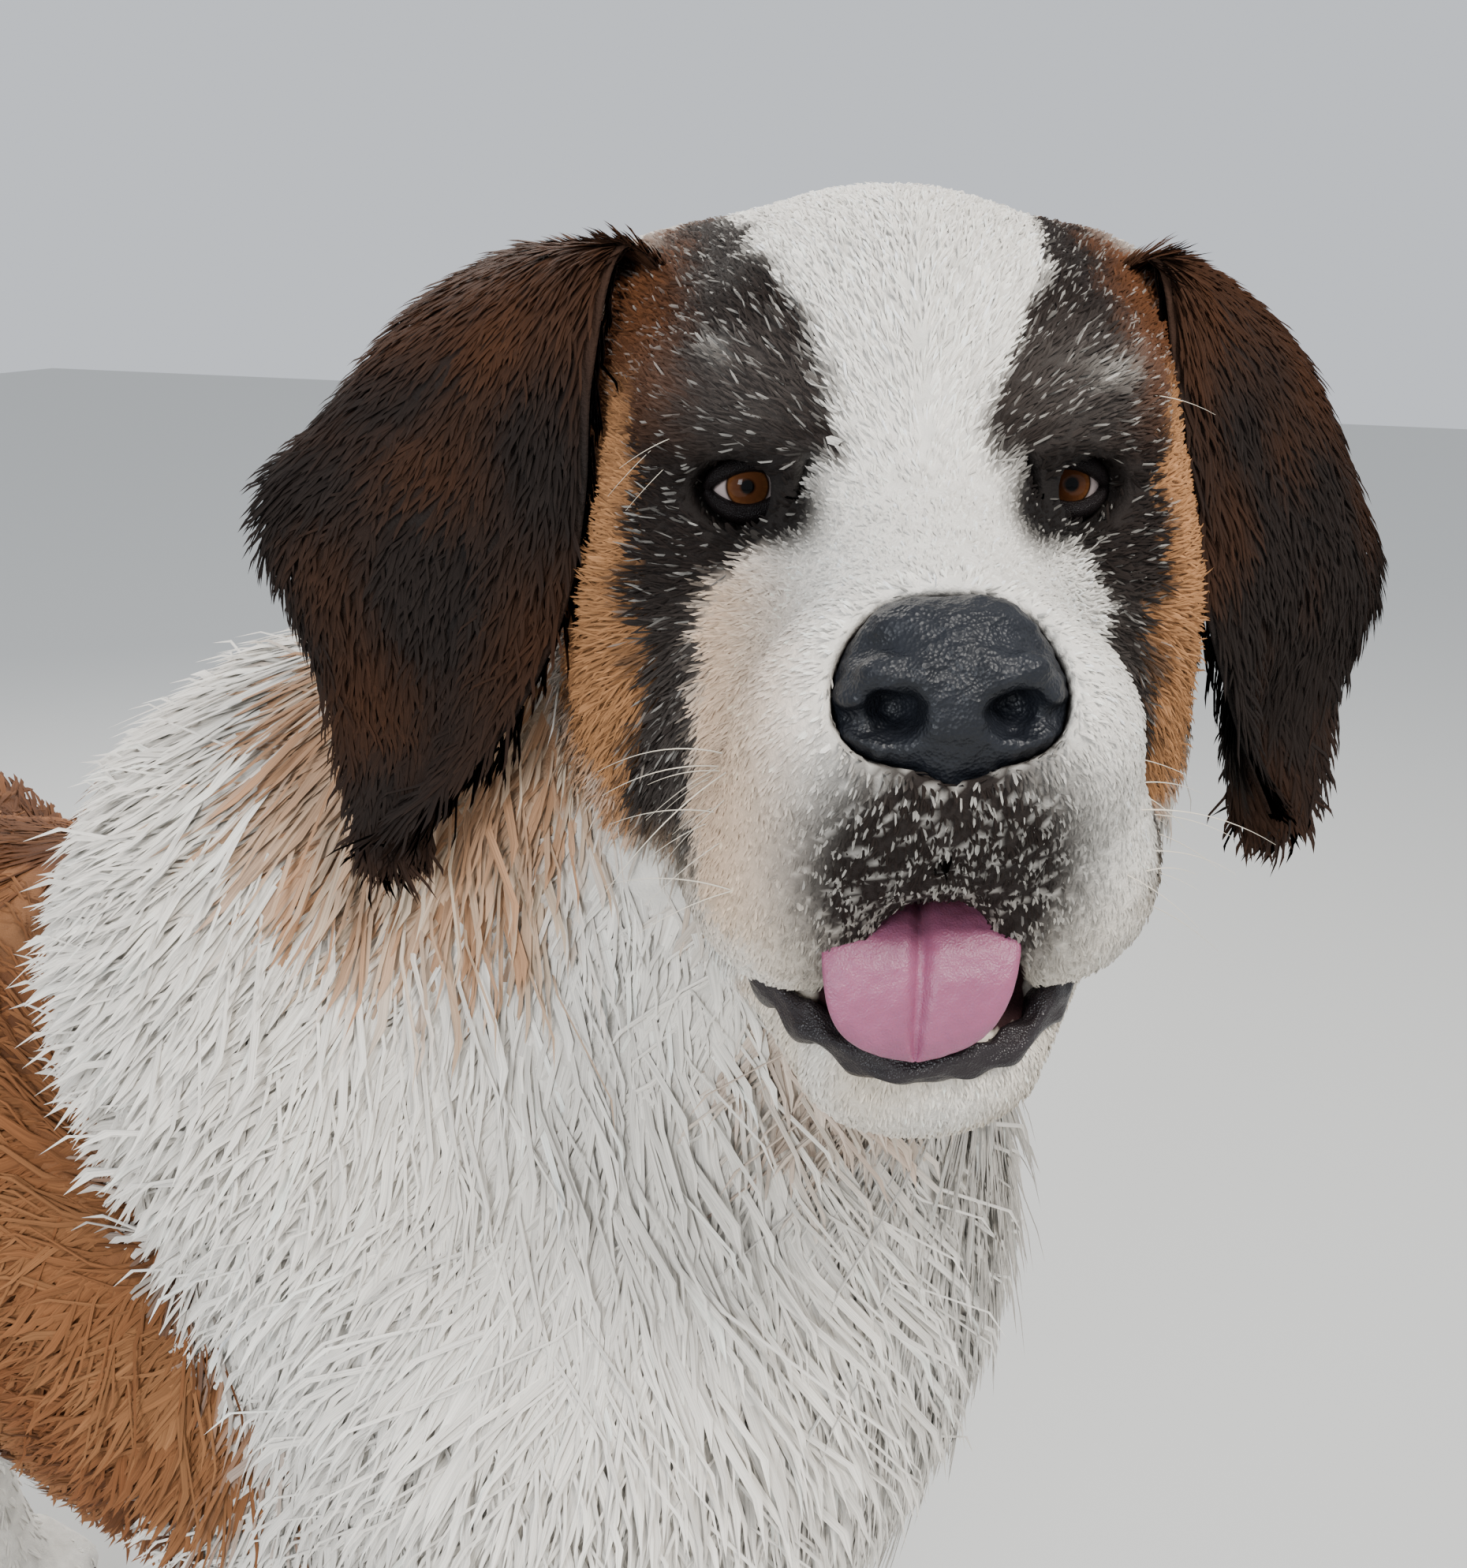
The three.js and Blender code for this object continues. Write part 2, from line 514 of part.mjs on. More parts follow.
const core = coated(frontField, CORE_SHARE);
function trunkLocks() {
  const curve = new THREE.CatmullRomCurve3(trunkLine);
  const made = [];
  const rows = 8;
  for (let i = 0; i < rows; i++) {
    const u = 0.045 + (0.4 * i) / (rows - 1);
    const centre = curve.getPointAt(u);
    const along = curve.getTangentAt(u);
    const side = new THREE.Vector3().crossVectors(along, POINT(1, 0, 0)).normalize();
    const top = new THREE.Vector3().crossVectors(side, along).normalize();
    const round = 2 * Math.PI * reach(core, centre, top, 0, 420);
    const count = Math.max(6, Math.round(round / (LOCK_SPACING * (i < 5 ? 1.1 : 2.5))));
    for (let j = 0; j < count; j++) {
      const turn = (2 * Math.PI * (j + 0.5 * (i % 2) + random(-0.25, 0.25))) / count;
      const way = side.clone().multiplyScalar(Math.cos(turn)).addScaledVector(top, Math.sin(turn))
        .addScaledVector(along, random(-0.15, 0.15)).normalize();
      const spot = centre.clone().addScaledVector(way, reach(core, centre, way, 0, 420));
      if (spot.distanceTo(NAPE) < 165) continue;
      const deep = coatDepth(spot);
      made.push(lock(core, spot, trunkLie, {
        length: deep * random(1.7, 2.3) + 16, width: deep * random(0.75, 0.95) + 6, thick: deep * 0.3 + 3,
        rise: deep * random(0.32, 0.54), bend: random(-0.8, 0.8),
      }));
    }
  }
  return made;
}

// Locks down a line on a limb, at places given by height, on the side that faces way
function limbLocks(field, centres, way, { lie, length, width, thick, rise }) {
  return centres.map((centre) => {
    const aim = way.clone().add(POINT(random(-0.5, 0.5), 0, random(-0.1, 0.1))).normalize();
    const spot = centre.clone().addScaledVector(aim, reach(field, centre, aim, 0, 300));
    return lock(field, spot, () => lie.clone(), {
      length: length * random(0.85, 1.15), width: width * random(0.85, 1.15), thick, rise: rise * random(0.8, 1.1),
      bend: random(-0.5, 0.5),
    });
  });
}
const spread = (a, b, count) => Array.from({ length: count }, (_, i) => between(a, b, count > 1 ? i / (count - 1) : 0.5));

const BREECHES_LIE = POINT(0, 0.35, -1);
const breechesLocks = (s) =>
  limbLocks(hindlegField(s), [
    ...spread(onSide(s, POINT(108, BUTTOCK_Y - 110, 560)), onSide(s, POINT(118, BUTTOCK_Y - 110, 400)), 4),
    ...spread(onSide(s, POINT(128, BUTTOCK_Y - 110, 530)), onSide(s, POINT(136, BUTTOCK_Y - 110, 390)), 4),
  ], POINT(s * 0.45, 1, 0), { lie: BREECHES_LIE, length: 84, width: 28, thick: 12, rise: 17 });

const FEATHER_LIE = POINT(0, 0.45, -1);
const featherLocks = (s) =>
  limbLocks(forelegField(s), spread(onSide(s, ELBOW.clone().add(POINT(0, 0, -20))),
    onSide(s, WRIST.clone().add(POINT(0, 8, 60))), 6), POINT(0, 1, 0),
  { lie: FEATHER_LIE, length: 52, width: 18, thick: 9, rise: 13 });

function tailField(share) {
  const curve = new THREE.CatmullRomCurve3(tailLine);
  const spots = Array.from({ length: 25 }, (_, i) => curve.getPoint(i / 24));
  const radii = spots.map((_, i) => tailRadius(i / 24) + share * tailCoat(i / 24));
  return (p) => Math.min(...spots.map((spot, i) => p.distanceTo(spot) - radii[i]));
}
function tailLocks() {
  const curve = new THREE.CatmullRomCurve3(tailLine);
  const field = tailField(CORE_SHARE);
  const made = [];
  for (let i = 0; i < 5; i++) {
    const t = 0.2 + 0.155 * i;
    const along = curve.getTangent(t);
    for (let j = 0; j < 4; j++) {
      const turn = (2 * Math.PI * (j + 0.5 * (i % 2))) / 4 + random(-0.3, 0.3);
      const way = POINT(Math.cos(turn), Math.sin(turn), 0);
      const centre = curve.getPoint(t);
      const spot = centre.clone().addScaledVector(way, reach(field, centre, way, 0, 120));
      made.push(lock(field, spot, () => along.clone(), {
        length: 74, width: 26, thick: 11, rise: tailCoat(t) * 0.5, bend: random(-0.4, 0.4),
      }));
    }
  }
  return made;
}
const joined = (pieces) => wasm.Manifold.union(pieces);

// The nodes
const COLOURS = {
  white: [0xe9e4dc, 0.9], brown: [0x7a4526, 0.9], black: [0x2a2422, 0.9], nose: [0x1d1e22, 0.45], tongue: [0xc98a9c, 0.4],
  eye: [0x3a1d10, 0.1],
};
const group = new THREE.Group();

function node(name, body, [colour, roughness]) {
  const mesh = largest(body.subtract(FLOOR).simplify(SLIVER)).getMesh();
  const geometry = new THREE.BufferGeometry();
  const spots = new Float32Array((mesh.vertProperties.length / mesh.numProp) * 3);
  for (let i = 0; i < spots.length / 3; i++) {
    spots.set(mesh.vertProperties.subarray(i * mesh.numProp, i * mesh.numProp + 3), i * 3);
  }
  geometry.setAttribute("position", new THREE.BufferAttribute(spots, 3));
  geometry.setIndex(new THREE.BufferAttribute(mesh.triVerts, 1));
  const made = new THREE.Mesh(geometry, new THREE.MeshStandardMaterial({ color: colour, roughness, metalness: 0 }));
  made.name = name;
  group.add(made);
  return made;
}

// The two parts of a body on either side of a plane, with the gap between them: first the one the normal points to
function parted(body, centre, normal) {
  const n = normal.clone().normalize();
  const at = n.dot(centre);
  return [body.trimByPlane(n.toArray(), at + GAP / 2), body.trimByPlane(n.clone().negate().toArray(), GAP / 2 - at)];
}

const lids = joined([lid(1, LID_RISE), lid(-1, LID_RISE), lid(1, -LID_DROP), lid(-1, -LID_DROP)]);
const headWhole = headShell(0).subtract(socket(1)).subtract(socket(-1)).add(lids);
const eyeRoom = eyeBall(1, EYE_RADIUS + 2 * GAP).add(eyeBall(-1, EYE_RADIUS + 2 * GAP));
const headRoom = headShell(GAP).add(lids);
const trunkRoom = trunkShell(GAP);
const hindlegRoom = hindlegShell(1, GAP).add(hindlegShell(-1, GAP));
const ruffRoom = joined([headRoom, jawShell(GAP), tongueShell(GAP), earShell(1, GAP), earShell(-1, GAP),
  forelegShell(1, GAP), forelegShell(-1, GAP), hindlegRoom]);
const ruff = joined(trunkLocks()).subtract(ruffRoom);
const [neck, torso] = parted(trunkShell(0).add(ruff), POINT(0, -84, 690), POINT(0, -0.62, 0.78));

const jaw = jawShell(0).subtract(headRoom.subtract(mouthShell)).subtract(trunkRoom);
node("torso", torso, COLOURS.white);
node("neck", neck.subtract(headRoom), COLOURS.white);
node("head", headWhole.subtract(eyeRoom).subtract(noseShell(GAP)).subtract(mouthShell), COLOURS.black);
node("lower_jaw", jaw, COLOURS.white);
node("nose", noseShell(0).subtract(nostril(1)).subtract(nostril(-1)), COLOURS.nose);
node("tongue", tongueShell(0).subtract(jawShell(GAP)).subtract(headRoom.subtract(mouthShell)), COLOURS.tongue);
for (const s of [1, -1]) {
  const side = s > 0 ? "left" : "right";
  const forepaw = pawShell(onSide(s, FOREPAW), s * 5, 0);
  const hindpaw = pawShell(onSide(s, HINDPAW), s * 6, 0);
  node("eye_" + side, eyeBall(s, EYE_RADIUS), COLOURS.eye);
  node("ear_" + side, earShell(s, 0).subtract(headRoom).subtract(trunkRoom), COLOURS.black);
  const foreleg = forelegShell(s, 0).add(joined(featherLocks(s)));
  node("foreleg_" + side,
    foreleg.subtract(trunkRoom).subtract(ruff).subtract(pawShell(onSide(s, FOREPAW), s * 5, GAP)), COLOURS.white);
  node("forepaw_" + side, forepaw, COLOURS.white);
  const furred = hindlegShell(s, 0).add(joined(breechesLocks(s)));
  const leg = furred.subtract(trunkRoom).subtract(pawShell(onSide(s, HINDPAW), s * 6, GAP));
  const [hindleg, thigh] = parted(leg, onSide(s, between(STIFLE, HOCK, 0.5)), POINT(0, 0.35, -1));
  node("thigh_" + side, thigh, COLOURS.brown);
  node("hindleg_" + side, hindleg, COLOURS.white);
  node("hindpaw_" + side, hindpaw, COLOURS.white);
}
const legLocks = joined([...breechesLocks(1), ...breechesLocks(-1)]);
const plume = tailShell(0).add(joined(tailLocks()));
node("tail", plume.subtract(trunkRoom).subtract(hindlegRoom).subtract(legLocks), COLOURS.white);

// The origin lies in the middle of the box round the dog, on the floor
const box = new THREE.Box3().setFromObject(group);
const middle = box.getCenter(POINT(0, 0, 0));
group.position.set(-middle.x, -middle.y, 0);

export default group;
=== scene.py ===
"""A life-size Saint Bernard as a still model: skin, coat, eyes, nose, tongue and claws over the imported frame.

Lengths in the shape functions are millimetres in the dog's own frame: +Z up, the body faces -Y and its left is
+X. Places of the head are also given as left, forward and up from the middle of its eyes.
"""

import bpy
import numpy as np
from mathutils import Matrix, Vector


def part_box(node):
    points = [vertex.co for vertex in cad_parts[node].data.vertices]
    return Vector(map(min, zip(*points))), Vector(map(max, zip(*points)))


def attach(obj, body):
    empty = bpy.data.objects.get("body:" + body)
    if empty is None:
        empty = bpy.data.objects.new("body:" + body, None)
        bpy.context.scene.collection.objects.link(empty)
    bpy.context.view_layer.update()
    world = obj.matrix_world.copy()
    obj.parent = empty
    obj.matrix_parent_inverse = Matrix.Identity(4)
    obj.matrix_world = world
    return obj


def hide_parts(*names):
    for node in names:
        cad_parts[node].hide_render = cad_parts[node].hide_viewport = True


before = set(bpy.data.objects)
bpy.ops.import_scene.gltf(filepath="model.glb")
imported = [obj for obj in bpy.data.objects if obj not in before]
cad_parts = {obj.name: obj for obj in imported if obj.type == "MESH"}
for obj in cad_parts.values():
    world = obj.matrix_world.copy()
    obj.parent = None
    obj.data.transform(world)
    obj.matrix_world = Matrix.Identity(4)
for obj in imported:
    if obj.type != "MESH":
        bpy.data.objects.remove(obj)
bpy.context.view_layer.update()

bl_info = {
    "name": "Saint Bernard model",
    "version": (1, 0, 0),
    "blender": (4, 5, 0),
    "location": "View3D > Sidebar > Dog",
    "description": "Skin, coat, face and stage of a life-size Saint Bernard",
    "category": "Object",
}

MM = 0.001

# Driving sizes, as in the solids
SHOULDER_HEIGHT = 790.0
EYES = np.array([-115.0, -236.0, 925.0])
HALF_EYES = 49.5
EYE_RADIUS = 12.5
EYE_DEPTH = 11.0
EAR_HALF_THICKNESS = 3.2
EAR_HAIR_LIFT = 2.6  # of the hair's roots from the middle of the ear's flap
HEAD_TURN = np.radians(63.0)
HEAD_RAISED = np.radians(2.7)
CHEST_Y = -205.0
BUTTOCK_Y = CHEST_Y + 830.0
FORELEG_SPREAD = 106.0
HINDLEG_SPREAD = 118.0
PAW_WIDTH = 100.0
TOES = (-1.5, -0.5, 0.5, 1.5)  # places of the toes across a paw, in toe widths
COAT_BACK = 24.0
COAT_RUFF = 46.0
COAT_BREECHES = 52.0
CORE_SHARE = 0.45  # of the coat's depth lies under the skin's surface, as close undercoat

WITHERS = np.array([0.0, 78.0, SHOULDER_HEIGHT - 76.0])
SHOULDER = np.array([84.0, -104.0, 556.0])
ELBOW = np.array([FORELEG_SPREAD + 2.0, -18.0, 425.0])
WRIST = np.array([FORELEG_SPREAD - 4.0, -40.0, 160.0])
FOREPAW = np.array([FORELEG_SPREAD - 2.0, -76.0, 38.0])
HIP = np.array([98.0, BUTTOCK_Y - 132.0, 566.0])
STIFLE = np.array([132.0, BUTTOCK_Y - 236.0, 410.0])
HOCK = np.array([HINDLEG_SPREAD - 4.0, BUTTOCK_Y - 36.0, 222.0])
HINDPAW = np.array([HINDLEG_SPREAD, BUTTOCK_Y - 88.0, 38.0])
TAIL_ROOT = np.array([0.0, BUTTOCK_Y - 26.0, 630.0])
NAPE = np.array([-70.0, -214.0, 915.0])


def turned(angle, axis):
    """The 3 by 3 matrix of a turn by an angle about the Z axis (2) or the X axis (0)."""
    c, s = np.cos(angle), np.sin(angle)
    if axis == 2:
        return np.array([[c, -s, 0], [s, c, 0], [0, 0, 1.0]])
    return np.array([[1.0, 0, 0], [0, c, -s], [0, s, c]])


HEAD_AXES = turned(-HEAD_TURN, 2) @ turned(-HEAD_RAISED, 0)


def in_head(x, forward, up):
    """A place of the head's frame in the dog's: left, forward and up from the middle of the eyes."""
    return EYES + HEAD_AXES @ np.array([x, -forward, up], float)


SWING = 0.05  # the muzzle leans this much to the dog's right for each millimetre forward of the eyes


def to_head(p):
    """Left, forward and up in the head's frame of places in the dog's, with the muzzle's lean taken out."""
    q = (p - EYES) @ HEAD_AXES
    return np.stack([q[..., 0] + SWING * np.maximum(-q[..., 1], 0), -q[..., 1], q[..., 2]], -1)


def from_head(q):
    """Places in the dog's frame of left, forward and up in the head's: the inverse of to_head."""
    x = q[..., 0] - SWING * np.maximum(q[..., 1], 0)
    return np.stack([x, -q[..., 1], q[..., 2]], -1) @ HEAD_AXES.T + EYES


def on_side(s, p):
    """A place given for the left side, on the left (s 1) or the right (s -1)."""
    return np.array([s * p[0], p[1], p[2]])


def eye_middle():
    """The middle between the frame's two eyeballs, which places the dog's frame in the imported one."""
    low, high = zip(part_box("eye_left"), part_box("eye_right"))
    return (np.mean(low, 0) + np.mean(high, 0)) / 2


SHIFT = eye_middle() - in_head(0, -EYE_DEPTH, 0) * MM
SHIFT[2] = 0.0


def to_scene(p):
    """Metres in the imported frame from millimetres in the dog's."""
    return np.asarray(p) * MM + SHIFT


# Distance fields: each gives the distance of places outside a form
def taper(p, a, b, ra, rb):
    """A round bar: distance to the nearest point of the line from a to b, less a radius from ra to rb."""
    a, b = np.asarray(a, np.float32), np.asarray(b, np.float32)
    span = b - a
    away = p - a
    t = np.clip(away @ span / max(float(span @ span), 1e-6), 0, 1)
    gap = away - t[..., None] * span
    return np.sqrt((gap * gap).sum(-1)) - (ra + (rb - ra) * t)


def egg(p, c, r, dip=0.0):
    """An ellipsoid with its +Y end tipped down by dip: q(q - 1)/slope, q its middle's scaled distance."""
    d = p - np.asarray(c, np.float32)
    cos, sin = np.cos(np.radians(dip)), np.sin(np.radians(dip))
    x = d[..., 0] / r[0]
    y = (d[..., 1] * cos - d[..., 2] * sin) / r[1]
    z = (d[..., 1] * sin + d[..., 2] * cos) / r[2]
    near = np.sqrt(x * x + y * y + z * z)
    slope = np.sqrt((x / r[0]) ** 2 + (y / r[1]) ** 2 + (z / r[2]) ** 2) + 1e-9
    return near * (near - 1) / slope


def blend(k, *fields):
    """The union of forms: the least distance, less h*h*k/4 where two lie within k, which fills the crease."""
    whole = fields[0]
    for other in fields[1:]:
        h = np.maximum(k - np.abs(whole - other), 0) / k
        whole = np.minimum(whole, other) - h * h * (k / 4)
    return whole


def carve(k, body, tool):
    """A form with another cut out of it, with the edge rounded over a width of k."""
    return -blend(k, -body, tool)


def limb(p, k, points, radii):
    """Bars along a bent line, blended, with a radius for each of its points."""
    pieces = [taper(p, points[i], points[i + 1], radii[i], radii[i + 1]) for i in range(len(points) - 1)]
    return blend(k, *pieces)


def step(x, low, high):
    """0 below low, 1 above high, and 3t^2 - 2t^3 between them."""
    t = np.clip((x - low) / (high - low), 0, 1)
    return t * t * (3 - 2 * t)


def both(make):
    """The form that make gives for the left side (1) and for the right (-1)."""
    return [make(1.0), make(-1.0)]


def coat_depth(p):
    """Depth of the coat round the trunk and neck: deepest on the ruff and chest, less along the back."""
    narrow = 1 - 0.5 * step(np.abs(p[..., 0]), 60, 150) * (1 - step(p[..., 2], 620, 720))
    front = (1 - step(p[..., 1], 40, 200)) * narrow
    rear = step(p[..., 1], BUTTOCK_Y - 150, BUTTOCK_Y - 20) * (1 - step(p[..., 2], 560, 680))
    deep = COAT_BACK + (COAT_RUFF - COAT_BACK) * front + (COAT_BREECHES - COAT_BACK) * rear
    away = np.sqrt(((p - NAPE.astype(np.float32)) ** 2).sum(-1))
    return deep * (0.22 + 0.78 * step(away, 120, 300))


def head_field(q):
    """The head without its lower jaw, q in the head's frame (left, forward, up)."""
    skull = blend(30, egg(q, (0, -78, 18), (88, 94, 74)), egg(q, (0, -30, 34), (58, 50, 40)),
                  *both(lambda s: egg(q, (s * 46, -14, 26), (30, 26, 20))),
                  *both(lambda s: egg(q, (s * 72, -84, 32), (38, 46, 42))),
                  *both(lambda s: egg(q, (s * 60, -52, -30), (44, 56, 52))),
                  *both(lambda s: egg(q, (s * 56, -62, -82), (46, 58, 48))))
    muzzle = blend(22, taper(q, (0, 6, -22), (0, 84, -41), 40, 29),
                   taper(q, (0, 10, -52), (0, 84, -62), 50, 40),
                   *both(lambda s: taper(q, (s * 26, 91, -58), (s * 31, 62, -96), 28, 33)),
                   *both(lambda s: taper(q, (s * 35, 68, -106), (s * 41, 30, -106), 26, 30)))
    whole = blend(34, skull, muzzle)
    # The furrow up the forehead and the split of the upper lip
    whole = carve(12, whole, taper(q, (0, 12, 30), (0, -10, 66), 3.0, 3.0))
    whole = carve(7, whole, taper(q, (0, 129, -84), (0, 126, -118), 3.5, 10.0))
    for s in (1.0, -1.0):
        # Folds that run down and back over the side of the muzzle and the cheek
        whole = carve(9, whole, taper(q, (s * 55, 66, -22), (s * 74, 30, -74), 2.0, 2.5))
        whole = carve(10, whole, taper(q, (s * 62, 18, -26), (s * 92, -4, -96), 2.0, 3.5))
        # The hollow before the inner corner of the eye
        whole = carve(8, whole, taper(q, (s * 30, 22, 8), (s * 36, 24, -18), 2.5, 2.0))
        # The bag under the eye and the hollow that the eyeball lies in
        whole = blend(8, whole, taper(q, (s * 36, 4, -18), (s * 62, -8, -20), 7.0, 6.0))
        whole = carve(3, whole, egg(q, (s * HALF_EYES, 4, -1), (17.5, 17, 12.0)))
    return whole


def mouth_field(q):
    """The space between the hanging lips."""
    return blend(10, taper(q, (0, 34, -118), (0, 128, -108), 20, 8),
                 taper(q, (0, 30, -136), (0, 128, -134), 30, 25),
                 taper(q, (0, 30, -176), (0, 128, -176), 46, 41))


def jaw_field(q):
    """The lower jaw and its hanging lip, with the bump of the lip at each side of the chin."""
    bone = blend(16, taper(q, (0, 66, -160), (0, 8, -138), 23, 36),
                 *both(lambda s: taper(q, (s * 18, 66, -158), (s * 34, 10, -134), 19, 26)))
    return blend(8, bone, *both(lambda s: taper(q, (s * 30, 62, -150), (s * 42, 40, -140), 9, 10)))


def trunk_field(p):
    """The flesh of the trunk and neck."""
    skull_base, throat = in_head(0, -118, -22), in_head(0, -62, -112)
    trunk = blend(60, egg(p, (0, 130, 528), (150, 306, 162), -2),
                  egg(p, (0, CHEST_Y + 100, 560), (104, 100, 142), -14),
                  *both(lambda s: taper(p, (s * 62, 60, 696), on_side(s, SHOULDER), 62, 70)),
                  *both(lambda s: taper(p, on_side(s, SHOULDER), on_side(s, ELBOW), 64, 54)),
                  egg(p, WITHERS, (70, 118, 76), 14), egg(p, (0, 345, 548), (126, 165, 124), 0),
                  egg(p, (0, BUTTOCK_Y - 128, 566), (126, 134, 114), 12))
    neck = blend(50, taper(p, (0, 0, 672), skull_base, 120, 70), taper(p, (-2, -100, 628), throat, 94, 58),
                 *both(lambda s: egg(p, in_head(s * 50, -74, -106), (40, 52, 50))))
    return blend(60, trunk, neck)


def foreleg_field(p, s):
    """A foreleg: a bar from the shoulder over elbow and wrist to the paw."""
    points = [(SHOULDER + ELBOW) / 2, ELBOW, ELBOW * 0.55 + WRIST * 0.45, WRIST, FOREPAW]
    return limb(p, 26, [on_side(s, a) for a in points], [60, 57, 44, 39, 36])


def hindleg_field(p, s):
    """A hind leg: a heavy thigh, and a bar from the stifle over the hock to the paw."""
    thigh = blend(34, taper(p, on_side(s, HIP), on_side(s, STIFLE), 110, 72),
                  taper(p, (s * 104, BUTTOCK_Y - 96, 550), (s * 116, BUTTOCK_Y - 92, 400), 90, 64))
    points = [STIFLE, STIFLE * 0.3 + HOCK * 0.7, HOCK, (HOCK + HINDPAW) / 2, HINDPAW]
    return blend(34, thigh, limb(p, 20, [on_side(s, a) for a in points], [76, 50, 40, 35, 34]))


def paw_place(centre, toe_out, x, forward, up):
    """A place of a paw: aside, forward and up from its middle, turned out about Z."""
    c, s = np.cos(toe_out), np.sin(toe_out)
    return np.array([centre[0] + x * c + forward * s, centre[1] + x * s - forward * c, up])


def paw_field(p, centre, toe_out):
    """Four toes side by side on a pad: a bar for each, the two middle ones further forward."""
    toes = []
    for k in TOES:
        ahead, back = (50, 14) if abs(k) < 1 else (38, 6)
        knuckle = paw_place(centre, toe_out, k * PAW_WIDTH * 0.235, back, 30)
        tip = paw_place(centre, toe_out, k * PAW_WIDTH * 0.25, ahead, 18)
        toes.append(taper(p, knuckle, tip, 20.5, 18.5))
    heel, middle = paw_place(centre, toe_out, 0, -34, 32), paw_place(centre, toe_out, 0, 8, 32)
    return blend(7, taper(p, heel, middle, 35, 34), *toes)


TAIL_LINE = np.array([TAIL_ROOT, (1, BUTTOCK_Y + 16, 618), (3, BUTTOCK_Y + 50, 550), (8, BUTTOCK_Y + 64, 460),
                      (16, BUTTOCK_Y + 66, 360), (24, BUTTOCK_Y + 74, 270), (30, BUTTOCK_Y + 92, 200)])
TAIL_RADII = [40, 40, 38, 35, 31, 26, 15]
PAWS = [(on_side(s, c), s * np.radians(a)) for c, a in ((FOREPAW, 5), (HINDPAW, 6)) for s in (1.0, -1.0)]


def skin_field(p):
    """The whole dog's skin, with the close undercoat on it."""
    q = to_head(p).astype(np.float32)
    body = trunk_field(p) - CORE_SHARE * coat_depth(p)
    for s in (1.0, -1.0):
        body = blend(60, blend(30, body, foreleg_field(p, s)), hindleg_field(p, s))
    body = blend(30, body, limb(p, 16, TAIL_LINE, TAIL_RADII))
    for centre, toe_out in PAWS:
        body = blend(14, body, paw_field(p, centre, toe_out))
    head = carve(4, carve(5, head_field(q), nose_field(q) - 0.4), mouth_field(q))
    body = carve(10, body, taper(q, (0, 50, -126), (0, 140, -126), 27, 18))
    body = blend(16, body, head)
    body = blend(7, body, jaw_field(q))
    return np.maximum(body, -p[..., 2])


def graded(low, fine_low, fine_high, high, coarse, fine):
    """Grid lines from low to high, close together between fine_low and fine_high."""
    pieces = [np.arange(low, fine_low, coarse), np.arange(fine_low, fine_high, fine),
              np.arange(fine_high, high + coarse, coarse)]
    return np.concatenate(pieces).astype(np.float32)


